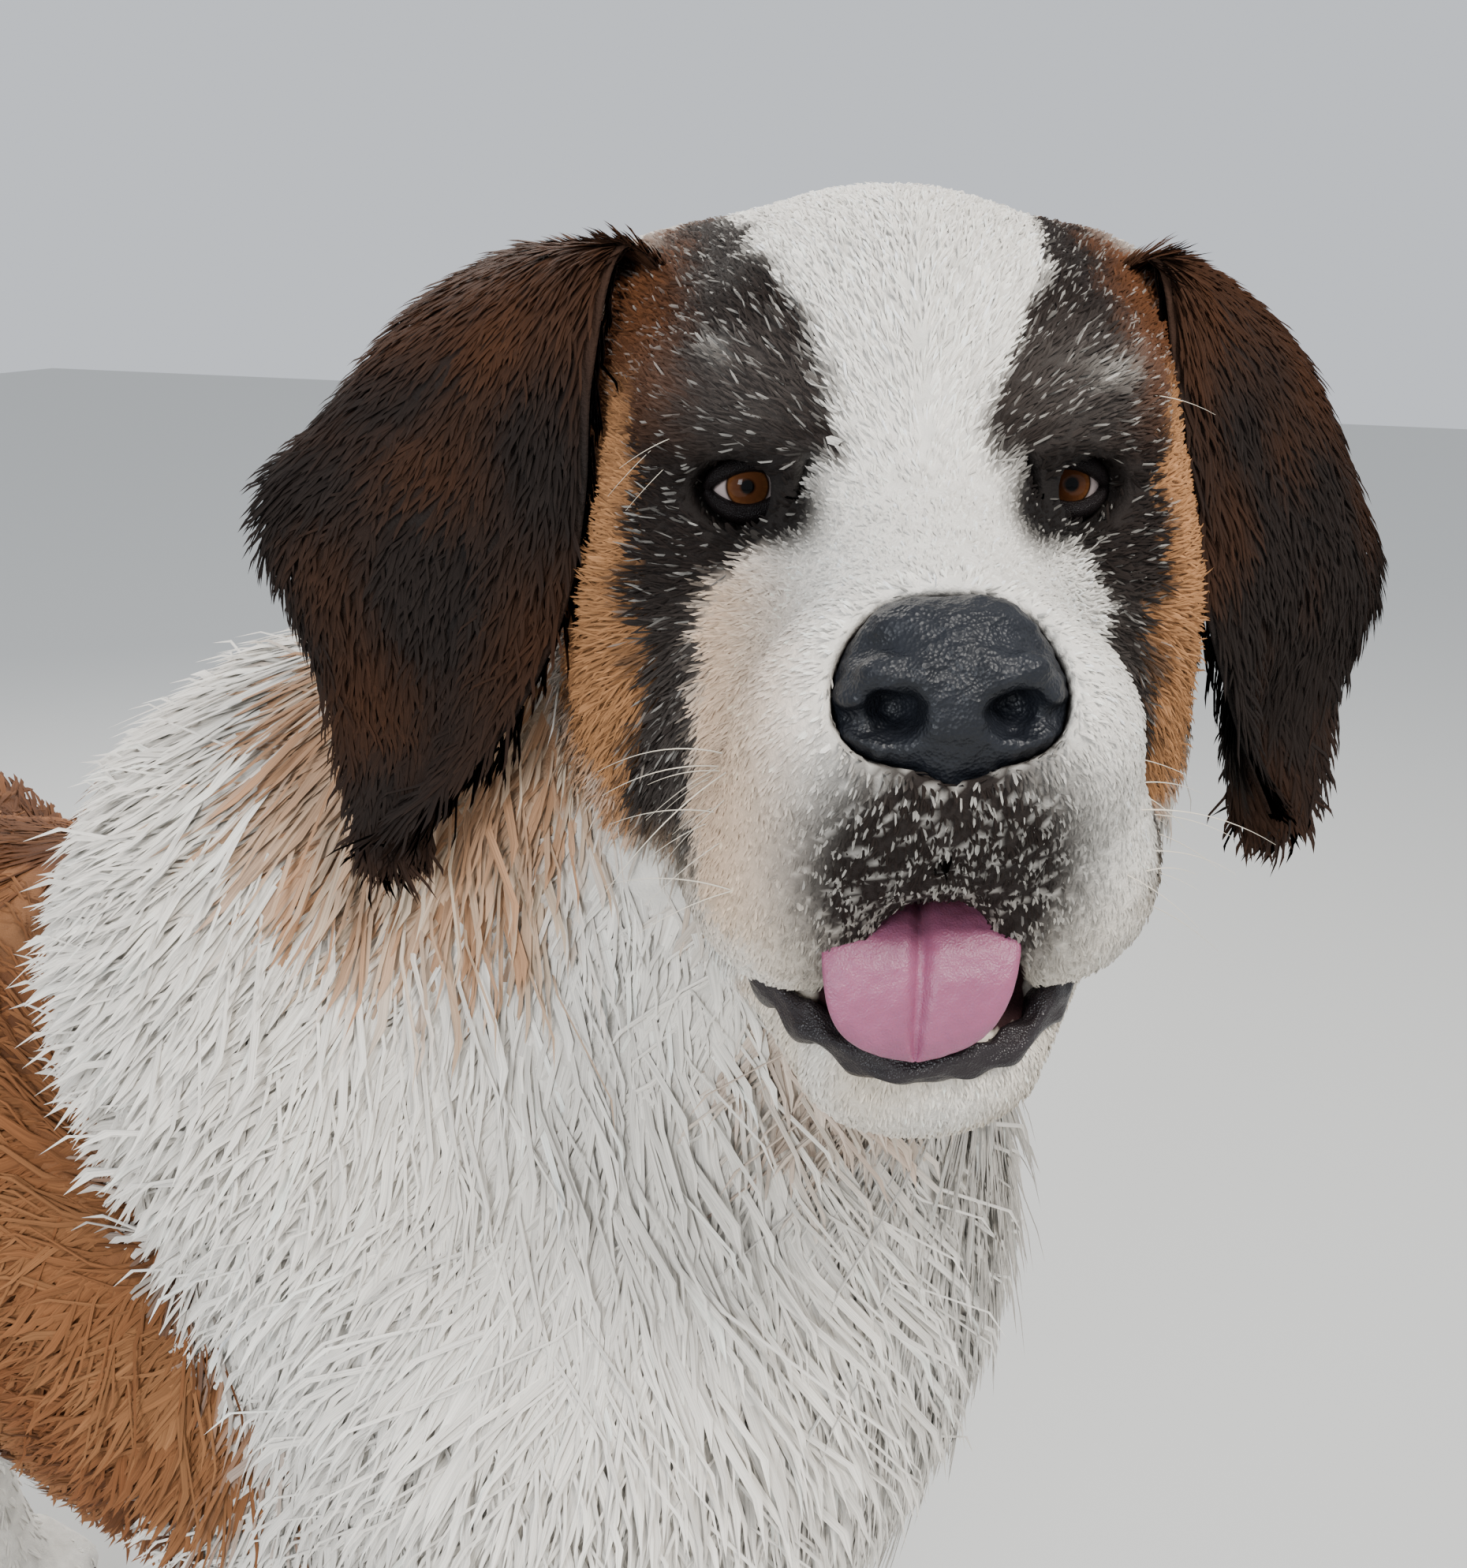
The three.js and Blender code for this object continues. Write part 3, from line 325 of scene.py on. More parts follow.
def level_surface(field, xs, ys, zs):
    """The zero surface of a field: a vertex in each grid cell that it crosses, at the mean of the crossings on
    the cell's edges, and a quad round each grid edge that it crosses. The field is first taken at the middles of
    blocks of cells, and then at every grid point of the blocks that the surface may pass through."""
    n = (len(xs), len(ys), len(zs))
    lines = (xs, ys, zs)
    block = 10
    starts = [np.arange(0, size, block) for size in n]
    ends = [np.minimum(start + block, size) - 1 for start, size in zip(starts, n)]
    middles = [(line[a] + line[b]) / 2 for line, a, b in zip(lines, starts, ends)]
    halves = [(line[b] - line[a]) / 2 for line, a, b in zip(lines, starts, ends)]
    rough = field(np.stack(np.meshgrid(*middles, indexing="ij"), -1))
    reach = np.linalg.norm(np.stack(np.meshgrid(*halves, indexing="ij"), -1), axis=-1)
    near = np.abs(rough) < 1.35 * reach + 14
    value = np.repeat(np.repeat(np.repeat(rough, block, 0), block, 1), block, 2)
    value = value[:n[0], :n[1], :n[2]].astype(np.float32)
    for i, j in np.argwhere(near.any(2)):
        row = np.flatnonzero(near[i, j])
        ks = np.concatenate([np.arange(k * block, min((k + 1) * block, n[2])) for k in row])
        cut = (slice(i * block, (i + 1) * block), slice(j * block, (j + 1) * block))
        grid = np.stack(np.meshgrid(xs[cut[0]], ys[cut[1]], zs[ks], indexing="ij"), -1)
        value[cut + (ks,)] = field(grid)
    inside = value < 0
    total = np.zeros((n[0] - 1, n[1] - 1, n[2] - 1, 3), np.float32)
    count = np.zeros((n[0] - 1, n[1] - 1, n[2] - 1), np.float32)
    quads = []
    for axis in range(3):
        others = [a for a in range(3) if a != axis]
        low = [slice(None)] * 3
        high = [slice(None)] * 3
        low[axis], high[axis] = slice(None, -1), slice(1, None)
        a, b = value[tuple(low)], value[tuple(high)]
        cross = np.argwhere(inside[tuple(low)] != inside[tuple(high)])
        va, vb = a[tuple(cross.T)], b[tuple(cross.T)]
        t = va / (va - vb)
        crossing = np.stack([lines[d][cross[:, d]] for d in range(3)], -1)
        crossing[:, axis] += t * (lines[axis][cross[:, axis] + 1] - lines[axis][cross[:, axis]])
        keep = np.ones(len(cross), bool)
        for d in others:
            keep &= (cross[:, d] > 0) & (cross[:, d] < n[d] - 1)
        cross, crossing, va = cross[keep], crossing[keep], va[keep]
        corners = []
        for da, db in ((0, 0), (-1, 0), (-1, -1), (0, -1)):
            cell = cross.copy()
            cell[:, others[0]] += da
            cell[:, others[1]] += db
            np.add.at(total, tuple(cell.T), crossing)
            np.add.at(count, tuple(cell.T), 1)
            corners.append(np.ravel_multi_index(tuple(cell.T), count.shape))
        quad = np.stack(corners, -1)
        flip = (va < 0) == (axis == 1)
        quad[flip] = quad[flip][:, ::-1]
        quads.append(quad)
    quads = np.concatenate(quads)
    used, index = np.unique(quads, return_inverse=True)
    points = total.reshape(-1, 3)[used] / count.reshape(-1)[used][:, None]
    return points, index.reshape(quads.shape)


def slope_of(field, p, reach=0.6):
    """The unit gradient of a field, by differences over a short reach."""
    out = np.empty_like(p)
    for axis in range(3):
        d = np.zeros(3, np.float32)
        d[axis] = reach
        out[:, axis] = field(p + d) - field(p - d)
    return out / (np.linalg.norm(out, axis=1, keepdims=True) + 1e-9)


# Marks of the coat: each gives linear red, green and blue for places on the dog
WHITE = np.array([0.90, 0.85, 0.77])
CREAM = np.array([0.72, 0.60, 0.45])
TAN = np.array([0.42, 0.20, 0.085])
RUST = np.array([0.26, 0.095, 0.035])
DARK = np.array([0.017, 0.012, 0.010])
GREY = np.array([0.22, 0.19, 0.17])
BLUSH = np.array([0.78, 0.50, 0.30])
# Inside of the mouth: partly the dark pigment of the lips' inner faces, partly painted shade of the mouth's
# hollow
MOUTH_LINING_AND_SHADE = np.array([0.035, 0.012, 0.013])


def mix(a, b, share):
    """a where the share is 0, b where it is 1."""
    return a + (b - a) * np.clip(share, 0, 1)[..., None]


def waves(p, size, seed):
    """Soft waves from -1 to 1: a mean of sines in random directions with about the given wavelength."""
    rng = np.random.default_rng(seed)
    total = 0
    for _ in range(6):
        way = rng.normal(size=3)
        way *= 2 * np.pi / (size * rng.uniform(0.7, 1.5)) / np.linalg.norm(way)
        total = total + np.sin(p @ way + rng.uniform(0, 6.28))
    return total / 3.2


def far_from(q, middle, radii):
    """Distance from a place in units of the radii of an ellipsoid round it: 1 on the ellipsoid."""
    return np.sqrt(sum(((q[..., k] - middle[k]) / radii[k]) ** 2 for k in range(3)))


def spot(q, middle, radii, soft):
    """1 inside an ellipse of the head seen from the front (left, up), fading to 0 over the soft edge."""
    d = np.sqrt(((q[..., 0] - middle[0]) / radii[0]) ** 2 + ((q[..., 2] - middle[1]) / radii[1]) ** 2)
    return 1 - step(d, 1 - soft, 1 + soft)


def head_colour(q):
    """Face marks: black round the eyes, a white blaze and muzzle, tan cheeks, dark at the ears' roots."""
    x, f, u = q[..., 0], q[..., 1], q[..., 2]
    side = np.abs(x + 2)
    rough = waves(q, 26, 4) * 3 + waves(q, 9, 5) * 2
    colour = np.broadcast_to(DARK, q.shape).copy()
    # Brown over the outer brow, and grey over the eyes and down the cheek
    colour = mix(colour, RUST * 0.55, step(side + rough, 56, 78) * step(u, 4, 34) * 0.75)
    colour = mix(colour, GREY, 0.16 * spot(np.stack([side, f, u], -1), (52, 30), (26, 16), 0.6))
    grey_cheek = step(-u, 18, 60) * (1 - step(side, 60, 95)) * (0.6 + 0.4 * waves(q, 5, 6))
    colour = mix(colour, GREY, 0.32 * grey_cheek)
    # Tan down the cheek in front of the ear
    stripe = step(side + rough, 78, 86) * (1 - step(side + rough, 98, 108)) * (1 - step(u, 14, 40))
    colour = mix(colour, TAN * 1.05, stripe)
    ear_root = step(side + rough, 100, 112) * step(-f, 36, 60) * step(-u, -40, 10) * (1 - step(-u, 70, 100))
    colour = mix(colour, DARK * 1.6, ear_root)
    colour = mix(colour, mix(TAN, CREAM, 0.4), step(-u, 100, 132) * step(side, 44, 66) * 0.85)
    # Blaze: broad on the crown, narrowest between the eyes, open on to the muzzle
    brow = np.interp(u, [-30, -6, 16, 40, 70, 92], [40, 26, 17, 25, 42, 52])
    brow = brow * (1 - 0.7 * step(-f, 70, 120))
    colour = mix(colour, RUST * 0.8, step(-f, 60, 100) * 0.8)
    colour = mix(colour, WHITE, 1 - step(np.abs(x + 1) + rough, brow - 3, brow + 4))
    # Muzzle: white to the line where the cheek begins
    edge = np.interp(-u, [-6, 12, 34, 70, 110, 150], [30, 45, 58, 66, 62, 60])
    muzzle = step(f + 0.3 * rough, -2, 8) * (1 - step(side + rough, edge - 3, edge + 4)) * step(-u, -14, 0)
    colour = mix(colour, WHITE, muzzle)
    colour = mix(colour, BLUSH, 0.8 * muzzle * step(-x, 26, 60) * step(-u, 0, 30))
    colour = mix(colour, CREAM * 0.9, 0.5 * step(-u, 84, 120) * step(f, 20, 40))
    # Dark speckled lip under the nose
    lip = spot(q, (0, -90), (42, 48), 0.35) * step(f, 76, 92)
    fleck = 0.80 + 0.20 * np.sign(waves(q, 3.0, 8) + 0.5)
    colour = mix(colour, DARK * 1.2, lip * fleck)
    colour = mix(colour, DARK * 1.2, 1 - step(nose_field(q), 0.6, 1.6))
    # Black rims of the lids and the inner corners
    rim = spot(np.stack([side, f, u], -1), (HALF_EYES - 3, -2), (21, 14.5), 0.3)
    colour = mix(colour, DARK * 0.45, rim * step(f, -26, -12))
    return colour


def jaw_colour(q):
    """White and cream chin, in soft patches."""
    return mix(WHITE, CREAM, 0.5 + 0.4 * waves(q, 30, 3))


def body_colour(p):
    """White body with a rust saddle over back and sides, rust thighs and tail, tan on the neck's right."""
    x, y, z = p[..., 0], p[..., 1], p[..., 2]
    rough = waves(p, 120, 11) * 26 + waves(p, 38, 12) * 12
    q = to_head(p)
    colour = np.broadcast_to(WHITE, p.shape).copy()
    colour = mix(colour, CREAM, 0.22 * (0.5 + 0.5 * waves(p, 150, 13)))
    # Saddle: its front edge runs back at the withers and comes forward over the shoulder
    front = np.interp(z, [300, 402, 512, 558, 627, 689, 760, 860], [210, 170, 20, -8, 40, 110, 150, 165])
    saddle = step(y + rough * 0.7, front - 10, front + 14) * (1 - step(y + rough, 470, 520))
    saddle *= step(z + rough * 0.6, 392, 424)
    streak = 0.5 + 0.5 * waves(p * np.array([1, 0.35, 1.0]), 46, 15)
    brown = mix(RUST * 0.8, TAN * 0.8, streak * 0.6)
    brown = mix(brown, RUST * 0.28, step(waves(p * np.array([1, 0.4, 1]), 70, 16), 0.0, 0.7) * 0.8)
    colour = mix(colour, brown, saddle)
    rump = step(y + rough, 470, 500) * step(z + rough * 0.7, 500, 540)
    colour = mix(colour, brown, rump)
    thigh = step(y + rough, 430, 470) * step(z + rough * 0.8, 380, 420) * step(np.abs(x), 90, 120)
    colour = mix(colour, brown, thigh)
    # Tan patch on the side of the neck behind the right ear, and tan under the chin
    side = far_from(q, (-150, -110, -102), (66, 110, 66))
    tan = mix(TAN, CREAM, 0.25 + 0.35 * waves(p, 30, 18))
    colour = mix(colour, tan, (1 - step(side + waves(p, 34, 17) * 0.16, 0.86, 1.1)) * 0.92)
    chin = far_from(q, (-8, 0, -190), (48, 80, 40))
    under_chin = 1 - step(chin + waves(p, 26, 19) * 0.2, 0.7, 1.15)
    colour = mix(colour, mix(tan, WHITE, 0.25), under_chin * 0.75)
    # Brown tail with a white tip
    tail = step(y, BUTTOCK_Y + 14, BUTTOCK_Y + 30) * step(z + rough * 0.5, 300, 350)
    return mix(colour, brown * 0.9, tail)


def coat_colour(p):
    """The marks of every place: the head's in front of the neck, the body's behind, faded into each other."""
    q = to_head(p)
    skull = far_from(q, (0, -50, -26), (104, 84, 122))
    muzzle = far_from(q, (0, 40, -66), (74, 92, 74))
    jaw = far_from(q, (0, 46, -158), (52, 60, 34))
    near = np.minimum(np.minimum(skull, muzzle), jaw)
    face = 1 - step(near + waves(p, 22, 21) * 0.03, 1.06, 1.2)
    colour = mix(body_colour(p), head_colour(q), face)
    chin = (1 - step(jaw, 0.95, 1.15)) * step(-q[..., 2], 132, 142)
    colour = mix(colour, jaw_colour(q), chin)
    mouth = (mouth_field(q) < 1.0) & ((jaw_field(q) > 3) | (q[..., 2] > -146))
    # The mouth's inside takes its dark colour: partly pigment, partly painted shade
    return np.where(mouth[..., None], MOUTH_LINING_AND_SHADE, colour)


def ear_colour(p):
    """Dark brown-black in soft patches, with rust at the root."""
    colour = mix(DARK, RUST * 0.24, 0.12 + 0.4 * waves(p, 46, 31))
    return mix(colour, RUST * 0.4, step(to_head(p)[..., 2], 20, 66) * 0.4)


# Meshes and materials
def add_mesh(name, points, faces, colours=None, uvs=None, normals=None):
    """A smooth mesh object at the origin, from places in the dog's frame and faces of one size. For each point
    it takes a colour, a place on each map and a direction to be shaded by."""
    mesh = bpy.data.meshes.new(name)
    places = to_scene(points).astype(np.float32)
    places[:, 2] = np.maximum(places[:, 2], 0)
    faces = np.asarray(faces, np.int32)
    size = faces.shape[1]
    mesh.vertices.add(len(places))
    mesh.vertices.foreach_set("co", places.ravel())
    mesh.loops.add(faces.size)
    mesh.loops.foreach_set("vertex_index", faces.ravel())
    mesh.polygons.add(len(faces))
    mesh.polygons.foreach_set("loop_start", np.arange(0, faces.size, size, dtype=np.int32))
    mesh.polygons.foreach_set("use_smooth", np.ones(len(faces), bool))
    mesh.update(calc_edges=True)
    if colours is not None:
        paint = mesh.color_attributes.new("Coat", "FLOAT_COLOR", "POINT")
        rgba = np.ones((len(places), 4), np.float32)
        rgba[:, :3] = np.clip(colours, 0, 1)
        paint.data.foreach_set("color", rgba.ravel())
    for key, values in (uvs or {}).items():
        corners = values[faces.ravel()].astype(np.float32)
        mesh.uv_layers.new(name=key).data.foreach_set("uv", corners.ravel())
    if normals is not None:
        ways = to_scene(points + normals) - to_scene(points)
        ways = ways / (np.linalg.norm(ways, axis=1, keepdims=True) + 1e-12)
        mesh.normals_split_custom_set_from_vertices(ways.astype(np.float32))
    thing = bpy.data.objects.new(name, mesh)
    bpy.context.scene.collection.objects.link(thing)
    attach(thing, "root")
    return thing


def triangles_of(faces):
    """Two triangles for each four-sided face."""
    return np.concatenate([faces[:, [0, 1, 2]], faces[:, [0, 2, 3]]])


def material(name, roughness, specular):
    """A new node material with the plain values of its shader set: the material, its tree and the shader."""
    made = bpy.data.materials.new(name)
    made.use_nodes = True
    shader = made.node_tree.nodes["Principled BSDF"]
    shader.inputs["Roughness"].default_value = roughness
    shader.inputs["Specular IOR Level"].default_value = specular
    return made, made.node_tree, shader


def node(tree, kind, inputs=None, **settings):
    """A new node with its settings made and then the values of its sockets."""
    made = tree.nodes.new(kind)
    for key, value in settings.items():
        setattr(made, key, value)
    for key, value in (inputs or {}).items():
        made.inputs[key].default_value = value
    return made


def undercoat_material():
    """Close undercoat: the marks, shaded by fine noise, with a hairy bump."""
    made, tree, shader = material("undercoat", 0.85, 0.2)
    paint = node(tree, "ShaderNodeAttribute", attribute_name="Coat")
    place = node(tree, "ShaderNodeTexCoord")
    fine = node(tree, "ShaderNodeTexNoise", {"Scale": 900.0, "Detail": 3.0})
    broad = node(tree, "ShaderNodeTexNoise", {"Scale": 120.0, "Detail": 3.0})
    shade = node(tree, "ShaderNodeMapRange", {"To Min": 0.62, "To Max": 1.12})
    tint = node(tree, "ShaderNodeMix", {"Factor": 1.0}, data_type="RGBA", blend_type="MULTIPLY")
    bump = node(tree, "ShaderNodeBump", {"Strength": 0.5, "Distance": 0.0015})
    link = tree.links.new
    link(place.outputs["Object"], fine.inputs["Vector"])
    link(place.outputs["Object"], broad.inputs["Vector"])
    link(broad.outputs["Fac"], shade.inputs["Value"])
    link(paint.outputs["Color"], tint.inputs["A"])
    link(shade.outputs["Result"], tint.inputs["B"])
    link(tint.outputs["Result"], shader.inputs["Base Color"])
    link(fine.outputs["Fac"], bump.inputs["Height"])
    link(bump.outputs["Normal"], shader.inputs["Normal"])
    return made


def coat_material():
    """Hair: the tuft's marks, with strands along it from noise stretched over its own map."""
    made, tree, shader = material("coat", 0.8, 0.1)
    paint = node(tree, "ShaderNodeAttribute", attribute_name="Coat")
    along = node(tree, "ShaderNodeUVMap", uv_map="Strand")
    stretch = node(tree, "ShaderNodeMapping", {"Scale": (5.0, 1.4, 1.0)})
    strand = node(tree, "ShaderNodeTexNoise", {"Scale": 1.0, "Detail": 2.0})
    shade = node(tree, "ShaderNodeMapRange",
                 {"From Min": 0.3, "From Max": 0.7, "To Min": 0.7, "To Max": 1.18})
    tint = node(tree, "ShaderNodeMix", {"Factor": 1.0}, data_type="RGBA", blend_type="MULTIPLY")
    bump = node(tree, "ShaderNodeBump", {"Strength": 0.35, "Distance": 0.0006})
    link = tree.links.new
    link(along.outputs["UV"], stretch.inputs["Vector"])
    link(stretch.outputs["Vector"], strand.inputs["Vector"])
    link(strand.outputs["Fac"], shade.inputs["Value"])
    link(paint.outputs["Color"], tint.inputs["A"])
    link(shade.outputs["Result"], tint.inputs["B"])
    link(tint.outputs["Result"], shader.inputs["Base Color"])
    link(strand.outputs["Fac"], bump.inputs["Height"])
    link(bump.outputs["Normal"], shader.inputs["Normal"])
    return made


# Camera of the photograph: turned and dipped, so far in front of the eyes, with its lens and frame in pixels
CAMERA_TURN = np.radians(66.0)
CAMERA_DIP = np.radians(18.0)
CAMERA_FAR = 535.0
LENS_PX = 2200.0
FRAME_PX = (1860.0, 1988.0)
EYES_PX = (223.0, 377.0)  # right of and above the frame's middle


# Bare places, and what the camera sees
def nose_field(q):
    """The nose leather: a bar across, a wing at each side and the part that runs down to the lip."""
    return blend(11, taper(q, (-8, 107, -34), (8, 107, -34), 17, 17),
                 *both(lambda s: egg(q, (s * 17, 110, -45), (13, 17, 13))),
                 taper(q, (0, 110, -46), (0, 107, -79), 17, 8.5))


def nose_shape(q):
    """The nose leather with its nostrils, the slits at their outer sides and the groove down the middle."""
    whole = nose_field(q)
    for s in (1.0, -1.0):
        whole = carve(4, whole, egg(q, (s * 15.5, 130, -43), (8.2, 18, 7.6)))
        whole = carve(3, whole, taper(q, (s * 18, 127, -46), (s * 33, 113, -45), 4.0, 1.6))
        whole = carve(7, whole, taper(q, (s * 8, 124, -22), (s * 25, 115, -28), 2.2, 2.0))
        whole = blend(4, whole, taper(q, (s * 9, 122, -34), (s * 20, 122, -33), 3.5, 3.2))
    return carve(3, whole, taper(q, (0, 128.5, -52), (0, 114, -92), 1.6, 2.6))


def eye_gap(q):
    """Scaled distance from the opening between the lids: 1 on its edge, seen from the front of either eye."""
    side = np.abs(q[..., 0])
    return np.sqrt(((side - HALF_EYES) / 11.8) ** 2 + (q[..., 2] / 7.8) ** 2) + 9 * (q[..., 1] < -34)


def bare(p):
    """Places without fur: inside the mouth, under the nose leather and between the lids."""
    q = to_head(p)
    mouth = (mouth_field(q) < 1.2) & ((jaw_field(q) > 3) | (q[..., 2] > -145))
    return mouth | (nose_field(q) < 0.7) | (eye_gap(q) < 1.0) | (p[..., 2] < 2.5)


def camera_frame():
    """Place of the photograph's camera in the dog's frame, with its directions right, up and ahead."""
    sin_a, cos_a = np.sin(CAMERA_TURN), np.cos(CAMERA_TURN)
    sin_p, cos_p = np.sin(CAMERA_DIP), np.cos(CAMERA_DIP)
    ahead = np.array([sin_a * cos_p, cos_a * cos_p, -sin_p])
    right = np.array([cos_a, -sin_a, 0.0])
    up = np.cross(right, ahead)
    place = EYES - (EYES_PX[0] * right + EYES_PX[1] * up) * CAMERA_FAR / LENS_PX - CAMERA_FAR * ahead
    return place, right, up, ahead


def seen(p, n):
    """1 where the photograph's camera sees a place, 0 well out of its sight."""
    place, right, up, ahead = camera_frame()
    d = p - place
    deep = np.maximum(d @ ahead, 1)
    x = np.abs(d @ right / deep) * LENS_PX / (FRAME_PX[0] / 2)
    y = np.abs(d @ up / deep) * LENS_PX / (FRAME_PX[1] / 2)
    facing = -(d * n).sum(-1) / np.linalg.norm(d, axis=-1)
    return (1 - step(np.maximum(x, y), 1.05, 1.25)) * step(facing, -0.3, 0.0) * (d @ ahead > 50)


# Numbers of the coat's parts, in the order of the forms in part_of
TRUNK, HEAD, FORELEG_LEFT, FORELEG_RIGHT, HINDLEG_LEFT, HINDLEG_RIGHT, TAIL, PAW = range(8)
TAIL_HAIR = 66.0
PAW_HAIR = 8.0


def part_of(p):
    """Number of the part that each place belongs to, the one whose form lies nearest."""
    q = to_head(p).astype(np.float32)
    trunk = trunk_field(p) - CORE_SHARE * coat_depth(p)
    paws = np.minimum.reduce([paw_field(p, centre, toe_out) for centre, toe_out in PAWS])
    head = np.minimum(head_field(q), jaw_field(q))
    legs = both(lambda s: foreleg_field(p, s)) + both(lambda s: hindleg_field(p, s))
    fields = [trunk, head] + legs + [limb(p, 16, TAIL_LINE, TAIL_RADII), paws]
    return np.argmin(np.stack(fields), 0)


def foreleg(part):
    """Where the part is a foreleg."""
    return (part == FORELEG_LEFT) | (part == FORELEG_RIGHT)


def hindleg(part):
    """Where the part is a hind leg."""
    return (part == HINDLEG_LEFT) | (part == HINDLEG_RIGHT)


def coat_length(p, part):
    """Length of the hair in millimetres: long on the chest and buttocks, short on the face, legs and paws."""
    q = to_head(p)
    x, f, u = np.abs(q[..., 0]), q[..., 1], q[..., 2]
    away = np.sqrt(((p - NAPE) ** 2).sum(-1))
    y, z = p[..., 1], p[..., 2]
    body = 30 + 34 * (1 - step(y, 20, 220)) + 10 * (1 - step(z, 380, 460))
    body = body + 26 * step(y, BUTTOCK_Y - 150, BUTTOCK_Y - 30)
    trunk = body * (0.34 + 0.66 * step(away, 110, 250))
    face = 7.5 - 3.0 * step(f, 20, 60) + 9 * step(x, 62, 92) * step(-u, 0, 60) + 9 * step(-f, 70, 130)
    face = face - 2.5 * (1 - step(eye_gap(q), 1.2, 2.6)) + 8 * step(-u, 96, 130) * (1 - step(f, 10, 40))
    fore = 15 + 26 * step(y, -34, 0) * step(z, 130, 220)
    breeches = step(y, BUTTOCK_Y - 110, BUTTOCK_Y - 50) * step(z, 300, 380)
    hind = 34 - 18 * (1 - step(z, 280, 380)) + 42 * breeches
    chosen = [part == TRUNK, part == HEAD, foreleg(part), hindleg(part), part == TAIL]
    return np.select(chosen, [trunk, face, fore, hind, np.full_like(y, TAIL_HAIR)], PAW_HAIR)


def coat_lie(p, part):
    """Direction of the hair: away from the nose on the head, down the chest and legs, back along the body."""
    q = to_head(p)
    away = p - NAPE
    away = away / np.linalg.norm(away, axis=-1, keepdims=True)
    back = step(p[..., 1], -60, 160)[..., None]
    body = away * 0.75 * (1 - back) + np.array([0, 1.0, 0]) * back
    body[..., 2] += -0.75 + 0.2 * back[..., 0] - 0.5 * step(p[..., 1], BUTTOCK_Y - 150, BUTTOCK_Y)
    swirl = waves(p, 150, 41)[..., None] * 0.45
    body = body + swirl * np.stack([-body[..., 1], body[..., 0], 0 * body[..., 2]], -1)
    front = q - np.array([0, 112, -26.0])
    front = front / (np.linalg.norm(front, axis=-1, keepdims=True) + 1e-6)
    front[..., 2] -= 0.75 * step(-q[..., 2], 30, 80)
    front[..., 0] += 0.25 * np.sign(q[..., 0]) * step(q[..., 2], -10, 20)
    face = np.stack([front[..., 0], -front[..., 1], front[..., 2]], -1) @ HEAD_AXES.T
    down = np.broadcast_to(np.array([0, 0.32, -1.0]), p.shape)
    lie = np.where((part == HEAD)[..., None], face, body)
    hangs = foreleg(part) | hindleg(part) | (part == TAIL)
    lie = np.where(hangs[..., None], down, lie)
    thigh = step(p[..., 2], 420, 520)[..., None] * hindleg(part)[..., None]
    lie = lie * (1 - thigh) + body * thigh
    paw = np.broadcast_to(np.array([0, -1.0, -0.35]), p.shape)
    return np.where((part == PAW)[..., None], paw, lie)


def spread_over(points, faces, normals, weight, count, rng):
    """Random places on triangles, with chances by area times their corners' weight, and the normals there."""
    a, b, c = (points[faces[:, k]] for k in range(3))
    area = np.linalg.norm(np.cross(b - a, c - a), axis=1) * weight[faces].mean(1)
    ends = np.cumsum(area)
    face = np.minimum(np.searchsorted(ends, rng.random(count) * ends[-1]), len(faces) - 1)
    u, v = rng.random((2, count))
    over = u + v > 1
    u[over], v[over] = 1 - u[over], 1 - v[over]
    shares = np.stack([1 - u - v, u, v], -1)[..., None]
    place = (points[faces[face]] * shares).sum(1)
    n = (normals[faces[face]] * shares).sum(1)
    return place, n / np.linalg.norm(n, axis=1, keepdims=True)


TUFT_RINGS = {2: (0.8, 0.85), 3: (0.75, 1.0, 0.8)}  # share of the tuft's width at each of its rings
LAST_RING = 0.78  # of the way to the tip


